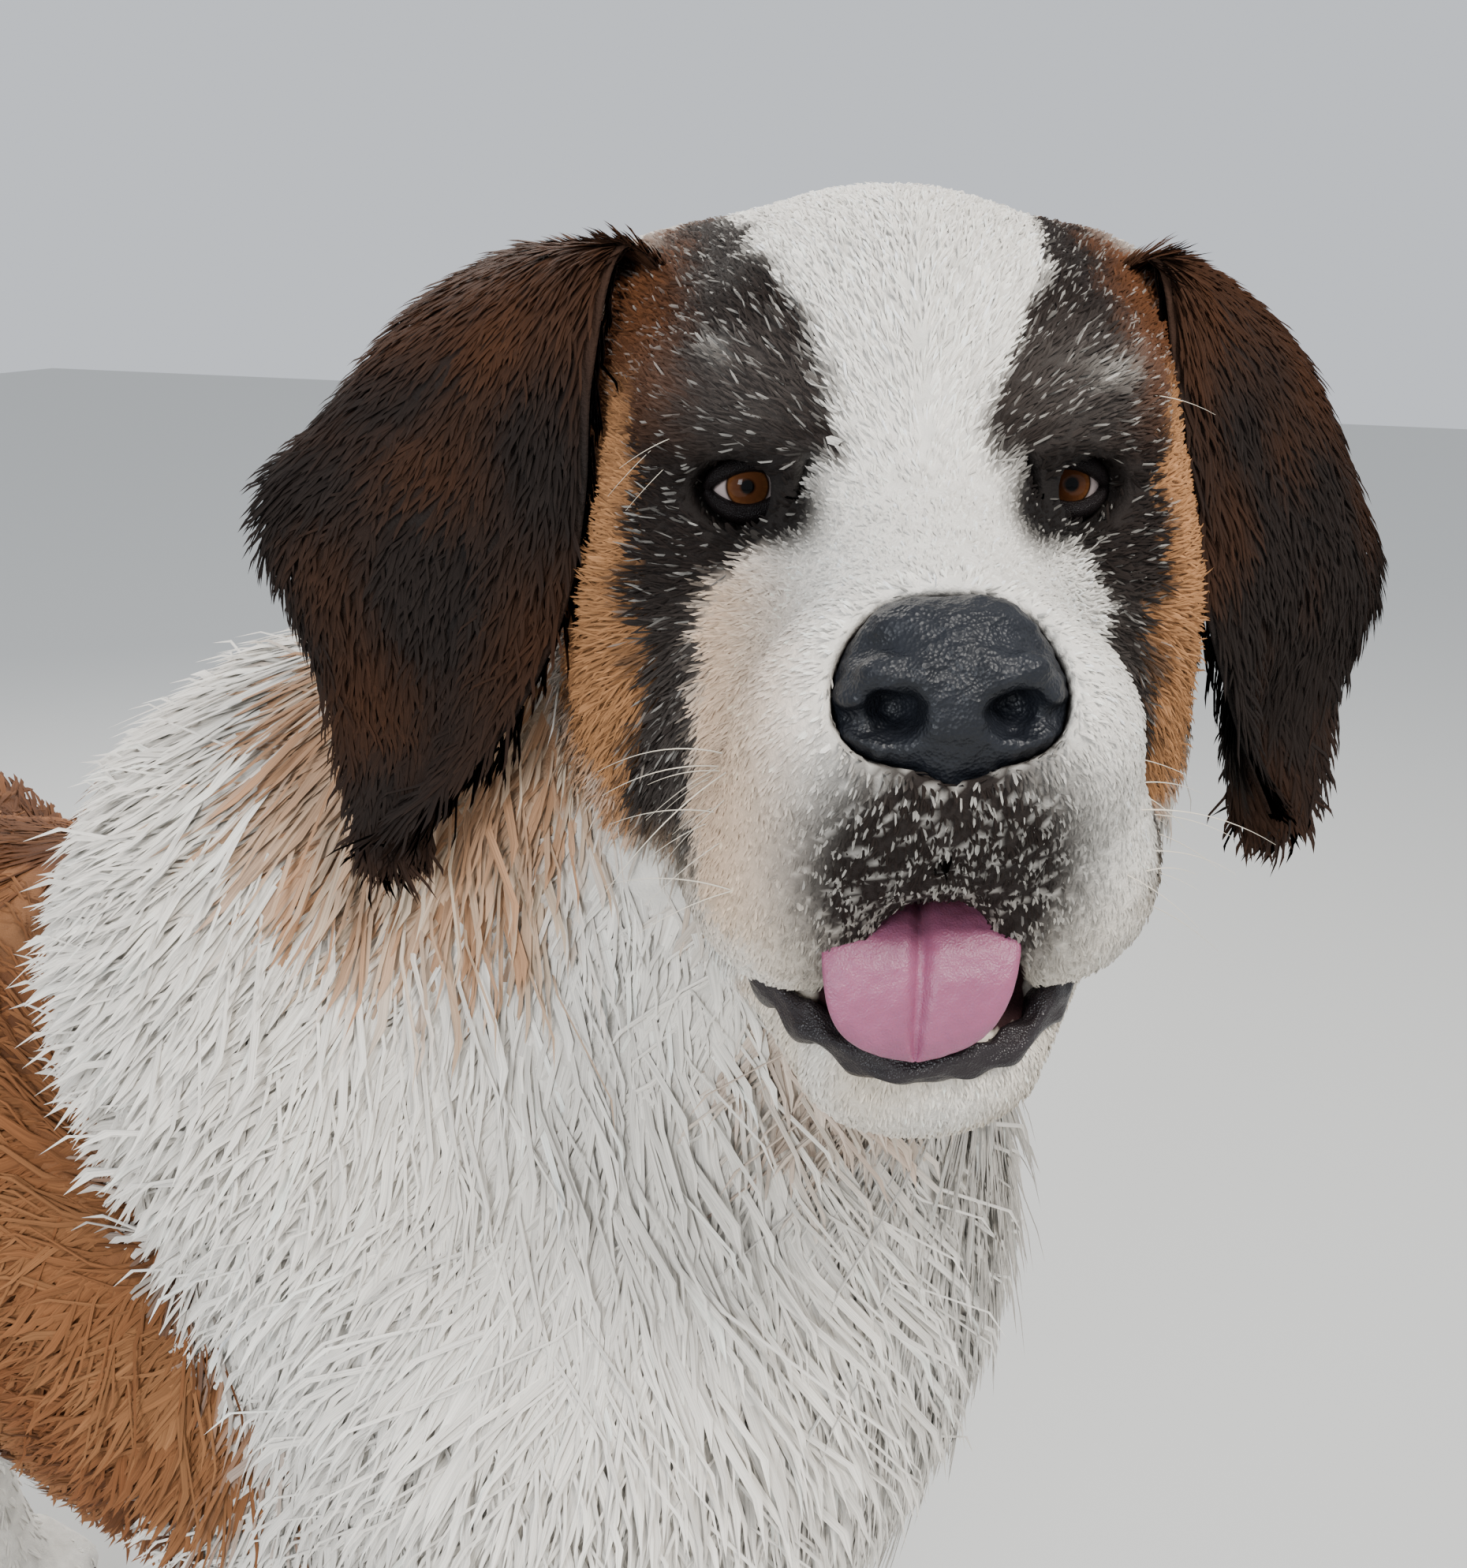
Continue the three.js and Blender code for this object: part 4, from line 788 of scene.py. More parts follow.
def tufts(place, n, lie, length, width, lift, rng, rings, sunk, curl, flat):
    """Closed three-sided strands that taper to the tip: root + lie*L*t + normal*(lift*(1 - (1 - t)^2) - sunk) +
    side*sway*L*sin(pi*t/2)^2, round which each ring is a flat triangle. They are shaded mostly by the skin's own
    direction, so that they read as one soft coat. Returns points, faces, t, the strand's own map, the directions
    and the number of points in a tuft."""
    count = len(place)
    lie = lie - (lie * n).sum(1, keepdims=True) * n
    lie = lie / (np.linalg.norm(lie, axis=1, keepdims=True) + 1e-9)
    side = np.cross(n, lie)
    sway = rng.normal(0, curl, count)[:, None]
    ts = np.concatenate([np.linspace(0, LAST_RING, rings), [1.0]])
    profile = TUFT_RINGS[rings]
    turn = np.array([0.0, 2.1, 4.2])
    rows, tees, maps, ways = [], [], [], []
    soft = n * 0.72 + lie * 0.12
    phase = rng.random(count)
    for i, t in enumerate(ts):
        bent = length * np.sin(np.pi * t * 0.5) ** 2
        middle = place + lie * (length * t)[:, None] + side * sway * bent[:, None]
        middle = middle + n * (lift * (1 - (1 - t) ** 2) - sunk)[:, None]
        if i == rings:
            rows.append(middle[:, None])
            ways.append(soft[:, None])
            tees.append(np.full((count, 1), t))
            maps.append(np.stack([phase * 40 + 0.5, np.full(count, t)], -1)[:, None])
            break
        half = (width * profile[i] / 2)[:, None, None]
        ring = side[:, None] * np.cos(turn)[None, :, None] + n[:, None] * (np.sin(turn) * flat)[None, :, None]
        rows.append(middle[:, None] + ring * half)
        ways.append(soft[:, None] + 0.3 * ring)
        tees.append(np.full((count, 3), t))
        maps.append(np.stack([phase[:, None] * 40 + turn[None] / 2, np.full((count, 3), t)], -1))
    points = np.concatenate(rows, 1)
    each = points.shape[1]
    base = [(0, 2, 1)]
    for i in range(rings - 1):
        for j in range(3):
            a, b = i * 3 + j, i * 3 + (j + 1) % 3
            base += [(a, b, b + 3), (a, b + 3, a + 3)]
    last = (rings - 1) * 3
    base += [(last + j, last + (j + 1) % 3, each - 1) for j in range(3)]
    faces = (np.array(base)[None] + (np.arange(count) * each)[:, None, None]).reshape(-1, 3)
    tees = np.concatenate(tees, 1).reshape(-1)
    maps = np.concatenate(maps, 1).reshape(-1, 2)
    return points.reshape(-1, 3), faces, tees, maps, np.concatenate(ways, 1).reshape(-1, 3), each


# Left, bottom, width and height of the tile of each part on the skin's map, in the order of their numbers
TILES = np.array([(0.0, 0.0, 0.5, 0.5), (0.5, 0.0, 0.5, 0.5)]
                 + [(0.16 * leg, 0.5, 0.16, 0.5) for leg in range(4)]
                 + [(0.64, 0.5, 0.12, 0.5), (0.76, 0.5, 0.12, 0.5)])
TILE_EDGE = 0.02  # of a tile's size is left free at each edge
ROOT_PATCH = 0.0015  # half the size of a tuft's patch on that map


def unwrap(p, part):
    """Map of the skin's own shape: each part unrolled round its own axis into its own tile."""
    q = to_head(p)
    x, y, z = p[..., 0], p[..., 1], p[..., 2]
    bend = np.clip((y + 200) / 260, 0, 1)
    round_trunk = np.arctan2(x, (z - 545) * bend + (y + 60) * (1 - bend) + 1e-6)
    along_trunk = (y - z + 1150) / 1900
    turn = np.where(part == HEAD, np.arctan2(q[..., 0], q[..., 2] + 40), round_trunk)
    along = np.where(part == HEAD, (q[..., 1] + 190) / 340, along_trunk)
    leg = foreleg(part) | hindleg(part)
    middle_y = np.where(part <= FORELEG_RIGHT, -30, BUTTOCK_Y - 90)
    turn = np.where(leg, np.arctan2(np.abs(x) - 112, y - middle_y), turn)
    along = np.where(leg, z / 760, along)
    turn = np.where(part == TAIL, np.arctan2(x - 10, y - BUTTOCK_Y - 55), turn)
    along = np.where(part == TAIL, z / 760, along)
    turn = np.where(part == PAW, np.arctan2(np.abs(x) - 106, z - 24), turn)
    along = np.where(part == PAW, (y + 160) / 800, along)
    tile = TILES[part]
    inner = 1 - 2 * TILE_EDGE
    u = tile[..., 0] + tile[..., 2] * (TILE_EDGE + inner * (turn / (2 * np.pi) + 0.5))
    v = tile[..., 1] + tile[..., 3] * (TILE_EDGE + inner * np.clip(along, 0, 1))
    return np.stack([u, v], -1)


def coat_piece(name, place, n, part, colour, rng, lie, width, rings, lift, curl, sunk, length=None,
               grizzle=0.0):
    """One joined mesh of tufts with their colours, the map of their strands and the map of their roots. They
    are as long as their part's hair where no length is given. A share of grizzle of the dark ones is paler."""
    count = len(place)
    lie = lie + rng.normal(0, 0.13, lie.shape)
    if length is None:
        length = coat_length(place, part) * rng.uniform(0.75, 1.2, count)
    width = width * rng.uniform(0.7, 1.3, count)
    fine = rings == 2
    flat = 0.5 if fine else 0.32
    made = tufts(place, n, lie, length, width, length * lift, rng, rings, sunk, curl, flat)
    points, faces, t, strand, ways, each = made
    shade = rng.normal(1.0, 0.13 if fine else 0.08, count).clip(0.6, 1.4)
    pale = (rng.random(count) < grizzle) & (colour.max(1) < 0.3)
    colour = np.where(pale[:, None], mix(colour, WHITE * 0.7, rng.uniform(0.08, 0.42, count)), colour)
    # Each strand is painted darker at its root and a little lighter at its tip: painted shade down among the
    # hairs, and painted light on their tips
    paint = np.repeat(colour * shade[:, None], each, 0) * (0.86 + 0.2 * t)[:, None]
    root = np.repeat(unwrap(place, part), each, 0)
    corner = np.random.default_rng(3).uniform(-ROOT_PATCH, ROOT_PATCH, (each, 2))
    maps = {"OFBake": root + np.tile(corner, (count, 1)), "Strand": strand}
    thing = add_mesh(name, points, faces, paint, maps, ways)
    thing.data.materials.append(Store.coat)
    return thing


class Store:
    """What one operator works out and another uses: the skin's points, triangles and directions, and the coat's
    material."""
    skin = None
    coat = None


class DOG_PG_sizes(bpy.types.PropertyGroup):
    """Sizes and colours that a user would change."""
    face_grid: bpy.props.FloatProperty(
        name="Face grid", description="Grid step of the skin over the face, in millimetres", default=2.8,
        min=1.5)
    body_grid: bpy.props.FloatProperty(
        name="Body grid", description="Grid step of the skin over the body, in millimetres", default=8.0,
        min=4.0)
    nose_colour: bpy.props.FloatVectorProperty(
        name="Nose", description="Colour of the nose leather", subtype="COLOR", size=4,
        default=(0.0075, 0.0085, 0.0115, 1))
    lip_colour: bpy.props.FloatVectorProperty(
        name="Lip", description="Colour of the lower lip's rim", subtype="COLOR", size=4,
        default=(0.016, 0.012, 0.013, 1))
    claw_colour: bpy.props.FloatVectorProperty(
        name="Claws", description="Colour of the claws' horn", subtype="COLOR", size=4,
        default=(0.05, 0.04, 0.035, 1))
    floor_colour: bpy.props.FloatVectorProperty(
        name="Floor", description="Colour of the floor", subtype="COLOR", size=4,
        default=(0.62, 0.62, 0.60, 1))
    key_watts: bpy.props.FloatProperty(
        name="Key light", description="Power of the key light", default=88.0, min=0.0, unit="POWER")


class DOG_OT_skin(bpy.types.Operator):
    """One skin over the trunk, neck, head, jaw, legs, paws and tail"""
    bl_idname = "dog.skin"
    bl_label = "Skin"

    def execute(self, context):
        sizes = context.scene.dog_sizes
        fine, coarse = sizes.face_grid, sizes.body_grid
        xs = graded(-250, EYES[0] - 134, EYES[0] + 168, 232, coarse, fine)
        ys = graded(-342, EYES[1] - 96, EYES[1] + 150, 760, coarse, fine)
        paws = graded(-9, -2, 58, 700, coarse, 4.0)
        above = graded(float(paws[-1]) + 5, EYES[2] - 200, EYES[2] + 92, 1034, coarse, fine)
        points, quads = level_surface(skin_field, xs, ys, np.concatenate([paws, above]))
        points = points.astype(np.float32)
        Store.skin = points, triangles_of(quads), slope_of(skin_field, points, 2.0)
        # The undercoat takes the coat's marks a little darker: painted shade under the tufts
        skin = add_mesh("skin", points, quads, coat_colour(points) * 0.95)
        skin.data.materials.append(undercoat_material())
        names = ["torso", "neck", "head", "lower_jaw", "tail"]
        for side in ("left", "right"):
            names += [part + "_" + side for part in ("foreleg", "forepaw", "thigh", "hindleg", "hindpaw")]
        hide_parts(*names)
        return {"FINISHED"}


class DOG_OT_coat(bpy.types.Operator):
    """Short hair on the face and the long coat on neck, body, legs and tail, as joined tufts"""
    bl_idname = "dog.coat"
    bl_label = "Coat"

    def execute(self, context):
        Store.coat = coat_material()
        points, faces, normals = Store.skin
        share = 1.0
        part = part_of(points)
        sight = seen(points, normals)
        out_of_sight = 1.02 - sight
        furred = np.where(bare(points), 0.0, 1.0)
        face = (part == HEAD) * furred
        trunk = (part == TRUNK) * furred
        limbs = (part > HEAD) * furred
        # name, chance of a tuft, count, width, rings, lift, curl, how far the root is sunk
        plans = (("coat_face_1", face * sight, 14500, 1.25, 2, 0.22, 0.14, 0.8),
                 ("coat_face_2", face * sight, 14500, 1.05, 2, 0.26, 0.18, 0.8),
                 ("coat_face_3", face * sight, 14500, 0.9, 2, 0.3, 0.22, 0.8),
                 ("coat_head_back", face * out_of_sight, 8000, 3.0, 2, 0.3, 0.2, 1.2),
                 ("coat_chest_1", trunk * sight, 11500, 5.4, 3, 0.13, 0.32, 3.0),
                 ("coat_chest_2", trunk * sight, 11500, 2.5, 3, 0.17, 0.4, 3.0),
                 ("coat_body", trunk * out_of_sight, 9500, 7.0, 3, 0.2, 0.22, 3.0),
                 ("coat_legs", limbs, 10500, 4.6, 3, 0.2, 0.2, 2.0))
        for number, (name, weight, count, width, rings, lift, curl, sunk) in enumerate(plans):
            rng = np.random.default_rng(100 + number)
            place, n = spread_over(points, faces, normals, weight, int(count * share), rng)
            kept = ~bare(place)
            place, n = place[kept], n[kept]
            part = part_of(place)
            grizzle = 0.12 if "face" in name else 0.0
            coat_piece(name, place, n, part, coat_colour(place), rng, coat_lie(place, part),
                       width / share ** 0.4, rings, lift, curl, sunk, grizzle=grizzle)
        return {"FINISHED"}


class DOG_OT_nose(bpy.types.Operator):
    """Nose leather with nostrils, pebbled"""
    bl_idname = "dog.nose"
    bl_label = "Nose"

    def execute(self, context):
        pitch = 1.1
        lines = [np.arange(low, high, pitch) for low, high in ((-40, 40), (76, 136), (-94, -6))]
        points, quads = level_surface(nose_shape, *lines)
        grain = waves(points, 3.4, 61) * 0.28 + waves(points, 7, 62) * 0.3
        points = points + slope_of(nose_shape, points) * grain[:, None]
        points = from_head(points)
        nose = add_mesh("nose", points, quads[:, ::-1])
        colour = context.scene.dog_sizes.nose_colour
        nose.data.materials.append(leather_material("nose leather", colour, 0.42, 900.0))
        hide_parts("nose")
        return {"FINISHED"}


def ball(middle, radius, turns, rows, forward):
    """A ball with its pole along forward: middle + r(cos u * ahead + sin u (cos v * a + sin v * b)), with r
    larger over the clear bulge round the pole. Returns points, quads and the angle u of each point."""
    ahead = forward / np.linalg.norm(forward)
    a = np.cross(ahead, [0, 0, 1.0])
    a /= np.linalg.norm(a)
    b = np.cross(a, ahead)
    u = np.linspace(0.004, np.pi - 0.004, rows)[:, None]
    v = np.linspace(0, 2 * np.pi, turns, endpoint=False)[None]
    bulge = radius * (1 + 0.09 * np.exp(-((u / 0.48) ** 4)))
    way = (np.cos(u) * np.ones_like(v))[..., None] * ahead
    way = way + (np.sin(u) * np.cos(v))[..., None] * a + (np.sin(u) * np.sin(v))[..., None] * b
    points = middle + way * bulge[..., None]
    return points.reshape(-1, 3), ring_quads(rows, turns), np.repeat(u[:, 0], turns)


def ring_quads(rows, across):
    """The four-sided faces of a grid of points, joined round from the last column to the first."""
    i, j = np.meshgrid(np.arange(rows - 1), np.arange(across), indexing="ij")
    here, beside = i * across + j, i * across + (j + 1) % across
    return np.stack([here, beside, beside + across, here + across], -1).reshape(-1, 4)


def joined(pieces):
    """One list of points and one of faces from several, with the faces' numbers moved on."""
    starts = np.cumsum([0] + [len(points) for points, _ in pieces[:-1]])
    faces = [quads + start for start, (_, quads) in zip(starts, pieces)]
    return np.concatenate([points for points, _ in pieces]), np.concatenate(faces)


# Colours of the eye from its pole outwards, with the angles at which each gives way to the next
PUPIL = np.array([0.002, 0.002, 0.002])
IRIS = np.array([0.075, 0.026, 0.010])
IRIS_RIM = np.array([0.145, 0.055, 0.019])
IRIS_EDGE = np.array([0.010, 0.005, 0.003])
EYE_WHITE = np.array([0.46, 0.37, 0.35])
LID_COLOUR = (0.007, 0.005, 0.005, 1)
EYE_TURNS = 64  # columns of points round an eyeball
LID_RISES = (36.0, -31.0)  # degrees above the eye's middle at which the lids stand


def eye_colour(u):
    """Pupil, iris with spokes, its dark edge and the white, for rows of EYE_TURNS points at the angle u."""
    turn = np.arange(len(u)) % EYE_TURNS
    spoke = 0.75 + 0.35 * np.sin(turn * 2.3) * np.sin(turn * 0.9 + 1)
    iris = mix(IRIS, IRIS_RIM, step(u, 0.30, 0.48) * spoke)
    colour = mix(mix(iris, IRIS_EDGE, step(u, 0.47, 0.53)), EYE_WHITE, step(u, 0.56, 0.62))
    return mix(PUPIL, colour, step(u, 0.17, 0.21))


class DOG_OT_eyes(bpy.types.Operator):
    """Eyeballs with brown iris and pupil under a clear bulge, and the lids' dark rims"""
    bl_idname = "dog.eyes"
    bl_label = "Eyes"

    def execute(self, context):
        for s, side in ((1.0, "left"), (-1.0, "right")):
            middle = in_head(s * HALF_EYES, -EYE_DEPTH, 0)
            ahead = in_head(s * HALF_EYES + s * 3, 60, 3) - middle
            points, quads, u = ball(middle, EYE_RADIUS, EYE_TURNS, 48, ahead)
            eye = add_mesh("eye_" + side, points, quads, eye_colour(u))
            eye.data.materials.append(eye_material())
            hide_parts("eye_" + side)
        rims = [lid(s, rise) for s in (1.0, -1.0) for rise in LID_RISES]
        lids = add_mesh("lids", *joined(rims))
        lids.data.materials.append(leather_material("lid rim", LID_COLOUR, 0.38, 2400.0, 0.14))
        return {"FINISHED"}


def lid(s, rise):
    """A lid's rim: a bar of round section over the eyeball that sweeps from one corner to the other. It stands
    at rise in the middle and falls off to the corners, and the lower one droops."""
    rows, sides = 34, 12
    sweep = np.radians(np.linspace(-66, 66, rows))[:, None]
    turn = np.linspace(0, 2 * np.pi, sides, endpoint=False)[None]
    droop = 7.0 * (rise < 0) * np.cos(sweep) ** 2
    open_by = np.radians(rise * np.cos(sweep * 1.25) - 4 * np.sin(sweep) - droop * 0.6)
    way = np.stack([np.sin(sweep) * s, np.cos(sweep) * np.cos(open_by), np.sin(open_by)], -1)
    way = way / np.linalg.norm(way, axis=-1, keepdims=True)
    along = np.gradient(way[:, 0], axis=0)
    across = np.cross(along, way[:, 0])
    across /= np.linalg.norm(across, axis=-1, keepdims=True)
    thick = (0.9 + 1.9 * np.cos(sweep))[..., None]
    section = way * np.cos(turn)[..., None] + across[:, None] * np.sin(turn)[..., None] * 1.3
    q = np.array([s * HALF_EYES, -EYE_DEPTH, 0.0]) + way * (EYE_RADIUS + 1.4) + section * thick
    return from_head(q.reshape(-1, 3)), ring_quads(rows, sides)


def eye_material():
    """Wet eye: the painted iris under a smooth clear coat."""
    made, tree, shader = material("eye", 0.05, 0.08)
    shader.inputs["Coat Weight"].default_value = 0.06
    shader.inputs["Coat Roughness"].default_value = 0.02
    paint = node(tree, "ShaderNodeAttribute", attribute_name="Coat")
    tree.links.new(paint.outputs["Color"], shader.inputs["Base Color"])
    return made


def leather_material(name, colour, roughness, scale, specular=0.3):
    """Bare dark skin, pebbled by small round cells."""
    made, tree, shader = material(name, roughness, specular)
    place = node(tree, "ShaderNodeTexCoord")
    cells = node(tree, "ShaderNodeTexVoronoi", {"Scale": scale})
    broad = node(tree, "ShaderNodeTexNoise", {"Scale": 90.0, "Detail": 4.0})
    shade = node(tree, "ShaderNodeMapRange", {"To Min": 0.4, "To Max": 2.0})
    tint = node(tree, "ShaderNodeMix", {"Factor": 1.0, "A": colour}, data_type="RGBA", blend_type="MULTIPLY")
    bump = node(tree, "ShaderNodeBump", {"Strength": 0.55, "Distance": 0.0006})
    link = tree.links.new
    link(place.outputs["Object"], cells.inputs["Vector"])
    link(place.outputs["Object"], broad.inputs["Vector"])
    link(broad.outputs["Fac"], shade.inputs["Value"])
    link(shade.outputs["Result"], tint.inputs["B"])
    link(tint.outputs["Result"], shader.inputs["Base Color"])
    link(cells.outputs["Distance"], bump.inputs["Height"])
    link(bump.outputs["Normal"], shader.inputs["Normal"])
    return made


TONGUE = np.array([0.28, 0.082, 0.150])
# Darker colour of the tongue's root, back inside the mouth: painted shade
TONGUE_SHADED_ROOT = np.array([0.20, 0.07, 0.10])
TONGUE_HALF_WIDTH = 28.5
TONGUE_LINE = ((-2, 40, -114), (-2, 66, -110), (-3, 88, -113), (-4, 97, -122), (-5, 100, -135),
               (-5, 99, -146))


def tongue_material():
    """Wet tongue: its painted colour with light let in, and fine grain."""
    made, tree, shader = material("tongue", 0.36, 0.5)
    paint = node(tree, "ShaderNodeAttribute", attribute_name="Coat")
    place = node(tree, "ShaderNodeTexCoord")
    grain = node(tree, "ShaderNodeTexNoise", {"Scale": 1500.0, "Detail": 2.0})
    bump = node(tree, "ShaderNodeBump", {"Strength": 0.5, "Distance": 0.0006})
    tree.links.new(paint.outputs["Color"], shader.inputs["Base Color"])
    tree.links.new(place.outputs["Object"], grain.inputs["Vector"])
    tree.links.new(grain.outputs["Fac"], bump.inputs["Height"])
    tree.links.new(bump.outputs["Normal"], shader.inputs["Normal"])
    shader.inputs["Subsurface Weight"].default_value = 0.15
    shader.inputs["Subsurface Scale"].default_value = 0.004
    return made


class DOG_OT_tongue(bpy.types.Operator):
    """Tongue with its groove, hanging over the lower lip: a flat round section, curled up at its sides,
    carried along a bent line and narrowed to a round tip"""
    bl_idname = "dog.tongue"
    bl_label = "Tongue"

    def execute(self, context):
        rows, sides = 70, 128
        t = np.linspace(0, 1, rows)
        path = curve(TONGUE_LINE, t)
        along = np.gradient(path, axis=0)
        along /= np.linalg.norm(along, axis=1, keepdims=True)
        aside = np.array([1.0, 0, 0])
        top = np.cross(aside, along)
        turn = np.linspace(0, 2 * np.pi, sides, endpoint=False)
        tip = np.sqrt(1 - np.clip((t - 0.5) / 0.505, 0, 1) ** 2.3) * (0.99 - 0.1 * t) + 0.02
        tip = tip[:, None]
        across, lift = np.cos(turn)[None], np.sin(turn)[None]
        groove = np.exp(-((across / 0.08) ** 2)) * (lift > 0) * 3.8
        curl = 3.0 * across ** 2 * np.sin(np.pi * t)[:, None]
        deep = 5.2 * lift * (0.35 + 0.65 * tip) - groove * tip + curl
        wide = TONGUE_HALF_WIDTH * tip * across
        q = (path[:, None] + wide[..., None] * aside + deep[..., None] * top[:, None]).reshape(-1, 3)
        q = q + (waves(q, 4, 71) * 0.22)[:, None] * np.repeat(top, sides, 0)
        shade = TONGUE * (1 + 0.1 * waves(q, 16, 72))[:, None]
        # The part of the tongue inside the mouth is painted darker: painted shade
        shade = mix(shade, TONGUE_SHADED_ROOT, np.repeat(1 - step(t, 0.3, 0.6), sides) * 0.6)
        tongue = add_mesh("tongue", from_head(q), ring_quads(rows, sides)[:, ::-1], shade)
        tongue.data.materials.append(tongue_material())
        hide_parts("tongue")
        return {"FINISHED"}


def curve(points, t):
    """Catmull-Rom curve through points, at t from 0 to 1: a cubic between each two of them, whose slope at a
    point is half of the step between its neighbours."""
    points = np.asarray(points, float)
    n = len(points) - 1
    s = np.clip(np.asarray(t) * n, 0, n - 1e-9)
    i = s.astype(int)
    f = (s - i)[..., None]
    padded = np.concatenate([[2 * points[0] - points[1]], points, [2 * points[-1] - points[-2]]])
    a, b, c, d = padded[i], padded[i + 1], padded[i + 2], padded[i + 3]
    square, cube = 2 * a - 5 * b + 4 * c - d, 3 * b - a - 3 * c + d
    return 0.5 * (2 * b + (c - a) * f + square * f ** 2 + cube * f ** 3)


# Front and back edges of each ear from root to tip, in the head's frame
EAR_EDGES = {
    1: (((66, -52, 56), (84, -44, 68), (90, -34, 34), (94, -28, -8), (102, -30, -50), (116, -40, -88),
         (140, -56, -124)),
        ((66, -112, 46), (100, -118, 68), (142, -112, 48), (172, -104, 4), (188, -96, -38), (170, -82, -78),
         (148, -64, -124))),
    -1: (((-66, -50, 56), (-86, -42, 72), (-95, -30, 34), (-99, -26, -6), (-110, -32, -50), (-132, -44, -94),
          (-168, -58, -130)),
         ((-66, -112, 46), (-104, -120, 74), (-148, -114, 60), (-186, -102, 20), (-214, -92, -18),
          (-196, -78, -74), (-176, -62, -130))),
}


def ear_flap(s, u, t, lift):
    """A place of an ear in the head's frame, from its front edge (u 0) to its back one (1) and from root (t 0)
    to tip (1): between the edges, with a bulge and a wave outwards."""
    front, back = (curve(edge, t) for edge in EAR_EDGES[s])
    hung = np.sin(np.pi * np.minimum(1, t * 1.15 + 0.02))
    bulge = np.sin(np.pi * u) * hung * 17 + 6 * np.sin(2.4 * np.pi * u + 2) * t
    fold = 3.5 * np.sin(9 * t + 5 * u + s) * t
    q = front + (back - front) * u[..., None]
    q[..., 0] += s * (bulge + fold + lift)
    q[..., 2] += lift * 0.3
    return q


def ear_shell(s, side):
    """An ear's flap: a grid over its outer face and back over its inner one, thin at the edges and tip."""
    rows, across = 60, 34
    t = np.linspace(0, 1, rows)[:, None] * np.ones((1, 2 * across))
    once = np.linspace(0, 1, across)
    u = np.concatenate([once, once[::-1]])[None] * np.ones((rows, 1))
    lift = np.repeat([[1.0, -1.0]], across, 1).reshape(1, -1) * EAR_HALF_THICKNESS * (1 - 0.5 * t)
    edge = np.sqrt(np.clip(np.sin(np.pi * np.clip(u, 0.02, 0.98)), 0, 1))
    lift = lift * edge * np.sqrt(np.clip((1.02 - t) * 6, 0, 1))
    points = from_head(ear_flap(s, u, t, lift)).reshape(-1, 3)
    quads = ring_quads(rows, 2 * across)[:, ::s]
    # The flap takes the ear hair's colour darker: painted shade under the hair
    flap = add_mesh("ear_flap_" + side, points, quads, ear_colour(points) * 0.7)
    flap.data.materials.append(undercoat_material())
    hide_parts("ear_" + side)


def head_way(v):
    """Directions in the dog's frame of directions left, forward and up in the head's."""
    return np.stack([v[:, 0], -v[:, 1], v[:, 2]], -1) @ HEAD_AXES.T


def ear_hair(s, side, kind, count, shortest, longest, width, rng):
    """Tufts on both faces of an ear (coat) or mostly at its edges (fringe), which lie down and outwards."""
    share = 1.0
    count = int(count * share)
    if kind == "coat":
        u = rng.random(count)
        face = np.where(rng.random(count) < 0.72, 1.0, -1.0)
    else:
        u = 1 - np.abs(rng.normal(0, 0.10, count)).clip(0, 1)
        u = np.where(rng.random(count) < 0.3, 1 - u, u)
        face = np.where(rng.random(count) < 0.5, 1.0, -1.0)
    t = rng.random(count) ** 0.9
    place = ear_flap(s, u, t, face * EAR_HAIR_LIFT)
    flat, reach = np.zeros(count), 0.03
    down = ear_flap(s, u, np.clip(t + reach, 0, 1), flat) - ear_flap(s, u, np.clip(t - reach, 0, 1), flat)
    aside = ear_flap(s, np.clip(u + reach, 0, 1), t, flat) - ear_flap(s, np.clip(u - reach, 0, 1), t, flat)
    out = np.cross(down, aside)
    out /= np.linalg.norm(out, axis=1, keepdims=True) + 1e-9
    out *= (np.sign(out[:, 0]) * s * face)[:, None]
    lie = down / np.linalg.norm(down, axis=1, keepdims=True)
    lie[:, 2] -= 0.3
    aside = aside / np.linalg.norm(aside, axis=1, keepdims=True)
    lie += aside * (0.25 + 0.5 * (u - 0.5))[:, None]
    place = head_way(place) + EYES
    length = rng.uniform(shortest, longest, count) * (0.7 + 0.5 * t)
    coat_piece("coat_ear_" + kind + "_" + side, place, head_way(out), np.full(count, HEAD), ear_colour(place),
               rng, lie=head_way(lie), length=length, width=width / share ** 0.4, rings=3, lift=0.16, curl=0.2,
               sunk=0.8)


class DOG_OT_ears(bpy.types.Operator):
    """Ear flaps, with hair on both faces and a fringe along the edges"""
    bl_idname = "dog.ears"
    bl_label = "Ears"

    def execute(self, context):
        for s, side in ((1, "left"), (-1, "right")):
            ear_shell(s, side)
            rng = np.random.default_rng(300 + s)
            ear_hair(s, side, "coat", 6600, 10, 16, 1.9, rng)
            ear_hair(s, side, "fringe", 2600, 12, 24, 1.7, rng)
        return {"FINISHED"}


def tube(path, radii, sides, flat=1.0):
    """A closed bar round a path: rings of given radii across it, flattened along its own up."""
    along = np.gradient(path, axis=0)
    along /= np.linalg.norm(along, axis=1, keepdims=True)
    across = np.cross(along, np.array([0, 0, 1.0]))
    across /= np.linalg.norm(across, axis=1, keepdims=True) + 1e-9
    up = np.cross(across, along)
    turn = np.linspace(0, 2 * np.pi, sides, endpoint=False)
    ring = np.cos(turn)[None, :, None] * across[:, None] + np.sin(turn)[None, :, None] * up[:, None] * flat
    points = path[:, None] + ring * np.asarray(radii)[..., None]
    return points.reshape(-1, 3), ring_quads(len(path), sides)[:, ::-1]


